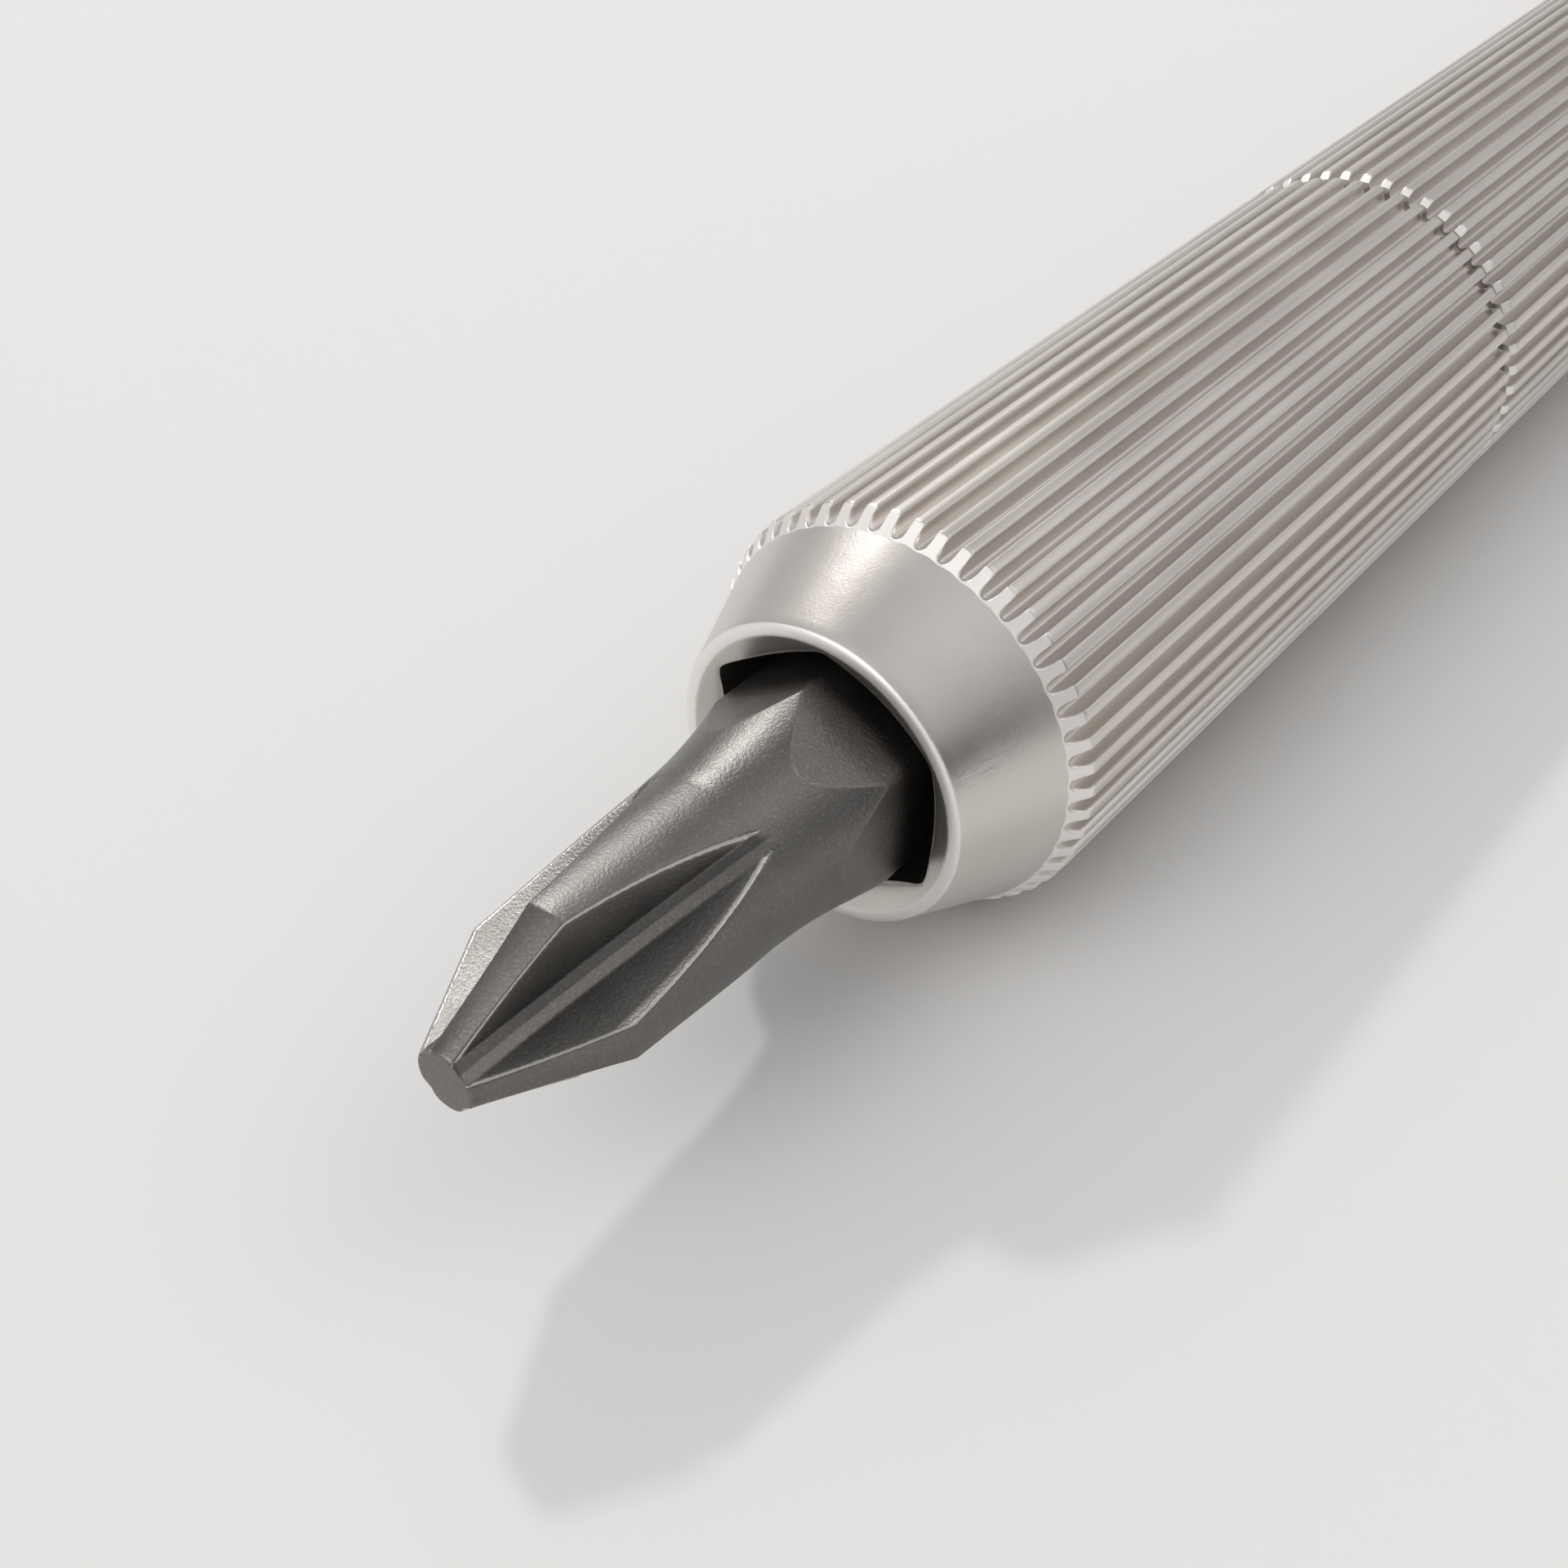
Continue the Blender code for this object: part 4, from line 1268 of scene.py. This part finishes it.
    def build(self, shop: Workshop) -> None:
        """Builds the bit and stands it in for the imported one.

        Args:
            shop: The workshop.
        """
        rows, columns = self.rows(), range(self.columns)
        table = []
        for share in (0.0, 0.5, 0.8, 0.93):
            table.append([self.end_spot(rows[0], column, share) for column in columns])
        table += [[self.side_spot(along, column) for column in columns] for along in rows]
        table += self.shank_rows()
        table.append([(self.back, 0.0, 0.0, 0.0)] * self.columns)
        piece = wrap(
            "cross_bit", shop.axis, len(table), self.columns, lambda row, column: table[row][column]
        )
        shop.dress(piece, TOOL_STEEL, Body.BIT, "phillips_bit")

    def angle(self, along: float, column: int) -> float:
        """Angle of a column at the tip.

        Args:
            along: Place along the bit.
            column: The column's number.

        Returns:
            Its angle round the tool.
        """
        quarter = self.columns // 4
        sector, step = divmod(column, quarter)
        start = sector * math.pi / 2
        if step <= quarter // 2:
            return start + self.spread(along, step)
        return start + math.pi / 2 - self.spread(along, quarter - step)

    def side_spot(self, along: float, column: int) -> Spot:
        """A point on the tip's side, drawn in where it rounds into the end face.

        Args:
            along: Place along the bit.
            column: The column's number.

        Returns:
            Its along, radius, angle and wear.
        """
        _, radius, angle, worn_and_highlit = self.spot(along, self.angle(along, column))
        depth = min((along - self.tip) / self.end_round, 1.0)
        inset = self.end_round * (1 - math.sqrt(1 - (1 - depth) ** 2))
        return along, radius - inset * 0.6, angle, max(worn_and_highlit, 0.5 - depth)

    def end_spot(self, along: float, column: int, share: float) -> Spot:
        """A point on the end face, at a share of the first row's radius."""
        _, radius, angle, _ = self.side_spot(along, column)
        return self.tip, radius * share, angle, 0.3 if share > 0.9 else 0.0

    def shank_rows(self) -> list[list[Spot]]:
        """Rows from behind the grooves, over the flare's scallops, to the shank's end.

        Returns:
            The rows of points.
        """
        start, back = self.run_out + 0.12, self.back
        neck_steps, scallop_steps = 16, 14
        lines = []
        for column in range(self.columns):
            lines.append((self.angle(start, column), self.even(column), self.scallop(column)))
        rows: list[list[Spot]] = []
        for step in range(1, neck_steps + scallop_steps + 1):
            share = min(step / neck_steps, 1.0)
            behind = max(step - neck_steps, 0) / scallop_steps
            row = []
            for first, even, crease in lines:
                if step <= neck_steps:
                    along = mix(start, crease, 1 - (1 - share) ** 1.7)
                    row.append(self.spot(along, mix(first, even, min(share * 2, 1.0))))
                else:
                    row.append(self.spot(mix(crease, self.flare_end, behind**1.8), even))
            rows.append(row)
        shank = ((4.0, 0.0), (10.0, 0.0), (back - self.chamfer, 0.0), (back, self.chamfer))
        for along, drop in shank:
            limit = self.hex_corner - drop
            row = [(along, min(self.hexagon(even), limit), even, 0.0) for _, even, _ in lines]
            rows.append(row)
        return rows

    def scallop(self, column: int) -> float:
        """Where the flare meets the hexagon's flat.

        Args:
            column: The column's number.

        Returns:
            The place along the bit.
        """
        hexagon = self.hexagon(self.even(column))
        low, high = self.run_out, 1.0
        for _ in range(40):
            middle = (low + high) / 2
            if self.turned(middle) < hexagon:
                low = middle
            else:
                high = middle
        return low


@dataclass
class SwivelCap:
    """The cap that turns under the palm, with its disc and the washer in front of it."""

    radius: float = 4.35
    boss: float = 1.60
    screw_bore: float = 1.05
    recess: float = 3.15
    disc: float = 3.10
    washer: float = 4.20
    washer_bore: float = 2.10
    washer_edge: float = 0.04
    line: float = 2.0
    line_width: float = 0.30
    line_depth: float = 0.12
    steps: int = 192

    def build(self, shop: Workshop) -> None:
        """Builds the cap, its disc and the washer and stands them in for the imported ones.

        Args:
            shop: The workshop.
        """
        axis = shop.axis
        low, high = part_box("cap_disc")
        disc_front, end = axis.along(low[0]), axis.along(high[0])
        washer_low, washer_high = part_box("thrust_washer")
        start = axis.along(washer_high[0]) + 0.05
        boss = axis.along(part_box("swivel_cap")[0][0])
        line = start + self.line
        outer = [
            (boss, self.screw_bore),
            (boss, self.boss),
            (start, self.boss),
            (start, self.radius),
            (line, self.radius),
            (line + self.line_width / 2, self.radius - self.line_depth),
            (line + self.line_width, self.radius),
            (end, self.radius),
            (end, self.recess),
            (disc_front - 0.05, self.recess),
            (disc_front - 0.05, 0.0),
        ]
        profile = [(boss + 2.4, 0.0), (boss + 2.4, 1.0), *outer[:3]]
        profile += rounded([outer[2], outer[3], outer[4]], 0.10, 4)[1:-1]
        profile += rounded(outer[4:8], 0.03, 2)[:-1]
        profile += rounded([outer[6], outer[7], outer[8]], 0.45, 6)[1:-1]
        profile += rounded(outer[7:10], 0.05, 2)[1:]
        profile += [outer[10]]
        cap = turn("cap_shell", axis, profile, self.steps)
        shop.dress(cap, ALUMINIUM, Body.CAP, "swivel_cap")
        rim = [(disc_front, self.disc), (end - 0.04, self.disc), (end, self.disc - 0.04)]
        face = [(disc_front, 0.0), *rim, (end, 0.0)]
        disc = turn("cap_end_disc", axis, face, self.steps)
        shop.dress(disc, SCREW_STEEL, Body.CAP, "cap_disc")
        front, back = axis.along(washer_low[0]), axis.along(washer_high[0])
        bore, radius, edge = self.washer_bore, self.washer, self.washer_edge
        ring = [(front, bore), (front, radius - edge), (front + edge, radius)]
        ring += [(back - edge, radius), (back, radius - edge), (back, bore), ring[0]]
        washer = turn("cap_washer", axis, ring, self.steps)
        shop.dress(washer, WHITE_NYLON, Body.BARREL, "thrust_washer")


@dataclass
class InnerWorks:
    """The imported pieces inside, which keep their shapes and get their finishes."""

    finishes: dict[str, Finish] = field(
        default_factory=lambda: {
            "bit_socket": SOCKET_STEEL_AND_PAINTED_SHADE,
            "socket_magnet": MAGNET_NICKEL,
            "spigot_o_ring": BLACK_RUBBER,
            "magazine_tube": GREY_PLASTIC,
            "magazine_plug": BLACK_RUBBER,
            "spare_bit_slotted": TOOL_STEEL,
            "bit_spacer_pad": BLACK_RUBBER,
            "spare_bit_hex": TOOL_STEEL,
            "magazine_end_pad": BLACK_RUBBER,
            "bearing_stop": ALUMINIUM,
            "bearing_outer_ring": BEARING_STEEL,
            "bearing_inner_ring": BEARING_STEEL,
            "bearing_cage": CAGE_BRASS,
            "bearing_shield_front": SHIELD_STEEL,
            "bearing_shield_rear": SHIELD_STEEL,
            "bearing_retainer": CAGE_BRASS,
            "axle_screw": SCREW_STEEL,
        }
    )
    balls: int = 7

    def build(self, shop: Workshop) -> None:
        """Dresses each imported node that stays.

        Args:
            shop: The workshop.
        """
        for node, finish in self.finishes.items():
            shop.dress_node(node, finish)
        for number in range(1, self.balls + 1):
            shop.dress_node(f"bearing_ball_{number}", BEARING_STEEL)


@dataclass(frozen=True)
class SkyLobe:
    """A soft bright or dark region of the studio's dome.

    Attributes:
        azimuth: Its direction round the vertical, in degrees from +X towards +Y.
        elevation: Its height over the horizon, in degrees.
        spread: How far it reaches from its middle, in degrees.
        gain: Light at its middle, negative where it darkens.
    """

    azimuth: float
    elevation: float
    spread: float
    gain: float

    @property
    def towards(self) -> tuple[float, float, float]:
        """Direction of its middle.

        Returns:
            The direction, of length 1.
        """
        turned, raised = math.radians(self.azimuth), math.radians(self.elevation)
        level = math.cos(raised)
        return level * math.cos(turned), level * math.sin(turned), math.sin(raised)

    def glow(self, nodes: Nodes, place: Socket) -> Socket:
        """Adds the lobe to the world's shader.

        Args:
            nodes: Helper of the world's tree.
            place: Socket with the direction that is looked at.

        Returns:
            Socket with the lobe's light.
        """
        near = nodes.add("VectorMath", operation="DOT_PRODUCT")
        nodes.link(place, near.inputs[0])
        near.inputs[1].default_value = self.towards
        width = 1 - math.cos(math.radians(self.spread))
        off = nodes.math("DIVIDE", nodes.math("SUBTRACT", near.outputs["Value"], 1.0), width)
        return nodes.math("MULTIPLY", nodes.math("EXPONENT", off), self.gain)


@dataclass
class Studio:
    """The pale floor, the soft light and the camera.

    Attributes:
        camera: Place of the camera, in millimetres from the rim of the nose on the axis.
        azimuth: Direction of view round the tool, in degrees.
        elevation: Height of view over the horizon, in degrees.
        lens: Focal length for a sensor 36 mm wide.
        key: Direction towards the key light.
        key_target: The place that the key light shines at, in metres.
        dome: Light of the dome without its lobes.
        overhead: How much brighter the dome is straight up, or darker where it is negative.
        lobes: A bright window on the left, a softer one at the right in front, a small one
            under the key light, and a dark place low on the camera's side.
    """

    camera: tuple[float, float, float] = (-22.8076, -17.2221, 23.4897)
    azimuth: float = -51.726
    elevation: float = 39.609
    lens: float = 45.45
    key: tuple[float, float, float] = (0.51, 0.84, 1.0)
    key_distance: float = 0.60
    key_size: float = 0.038
    key_power: float = 0.78
    key_target: tuple[float, float, float] = (-0.04, 0.0, 0.0)
    key_colour: Colour = (1.0, 0.985, 0.96)
    dome_colour: Colour = (1.0, 0.995, 0.99)
    dome: float = 0.575
    overhead: float = -0.14
    lobes: tuple[SkyLobe, ...] = (
        SkyLobe(168.0, 43.0, 21.0, 2.8),
        SkyLobe(-44.0, 53.0, 21.0, 0.95),
        SkyLobe(46.0, 35.0, 13.0, 1.35),
        SkyLobe(-95.0, 10.0, 13.0, -0.8),
    )
    floor_colour: Colour = (0.80, 0.792, 0.786)
    floor_size: float = 3.0

    def build(self, shop: Workshop) -> None:
        """Sets up the floor, the light and the camera.

        Args:
            shop: The workshop.
        """
        self.floor()
        self.light()
        self.air()
        self.view(shop.axis)
        bpy.context.scene.view_settings.view_transform = "Standard"

    def floor(self) -> None:
        """A pale matt floor."""
        bm = bmesh.new()
        bmesh.ops.create_grid(bm, x_segments=1, y_segments=1, size=self.floor_size)
        mesh = bpy.data.meshes.new("floor")
        bm.to_mesh(mesh)
        bm.free()
        ground = bpy.data.objects.new("floor", mesh)
        bpy.context.scene.collection.objects.link(ground)
        paint = bpy.data.materials.new("pale_floor")
        paint.use_nodes = True
        shader = paint.node_tree.nodes["Principled BSDF"]
        shader.inputs["Base Color"].default_value = (*self.floor_colour, 1.0)
        shader.inputs["Roughness"].default_value = 0.9
        shader.inputs["Specular IOR Level"].default_value = 0.1
        mesh.materials.append(paint)

    def light(self) -> None:
        """One small soft key light high behind the tool."""
        data = bpy.data.lights.new("key_light", "AREA")
        data.shape = "DISK"
        data.size = self.key_size
        data.energy = self.key_power
        data.color = self.key_colour
        lamp = bpy.data.objects.new("key_light", data)
        towards = Vector(self.key).normalized()
        lamp.location = towards * self.key_distance + Vector(self.key_target)
        lamp.rotation_euler = towards.to_track_quat("Z", "Y").to_euler()
        bpy.context.scene.collection.objects.link(lamp)

    def air(self) -> None:
        """A soft dome with its bright and dark lobes."""
        world = bpy.data.worlds.new("studio_dome")
        world.use_nodes = True
        bpy.context.scene.world = world
        nodes = Nodes(world.node_tree)
        place = nodes.add("TexCoord").outputs["Generated"]
        split = nodes.add("SeparateXYZ")
        nodes.link(place, split.inputs[0])
        light = nodes.math("MULTIPLY", split.outputs["Z"], self.overhead)
        light = nodes.math("ADD", light, self.dome)
        for lobe in self.lobes:
            light = nodes.math("ADD", light, lobe.glow(nodes, place))
        background = world.node_tree.nodes["Background"]
        nodes.link(nodes.math("MAXIMUM", light, 0.0), background.inputs["Strength"])
        background.inputs["Color"].default_value = (*self.dome_colour, 1.0)

    def view(self, axis: ToolAxis) -> None:
        """The camera, at the photograph's angle and distance.

        Args:
            axis: The tool's axis.
        """
        data = bpy.data.cameras.new("camera")
        data.sensor_width = 36.0
        data.sensor_fit = "HORIZONTAL"
        data.lens = self.lens
        data.clip_start = 0.001
        data.clip_end = 10.0
        eye = bpy.data.objects.new("camera", data)
        rim = axis.point(0.0, 0.0, 0.0)
        eye.location = rim + Vector(self.camera) * MM
        tilt, turned = math.radians(90.0 - self.elevation), math.radians(self.azimuth)
        eye.rotation_euler = (tilt, 0.0, turned)
        bpy.context.scene.collection.objects.link(eye)
        bpy.context.scene.camera = eye


def main() -> None:
    """Builds the tool and its studio."""
    logging.basicConfig(level=logging.INFO, format="%(name)s: %(message)s")
    shop = Workshop.open()
    for part in (Nose(), Barrel(), CrossBit(), SwivelCap(), InnerWorks(), Studio()):
        log.info("building %s", type(part).__name__)
        part.build(shop)


if __name__ == "__main__":
    main()
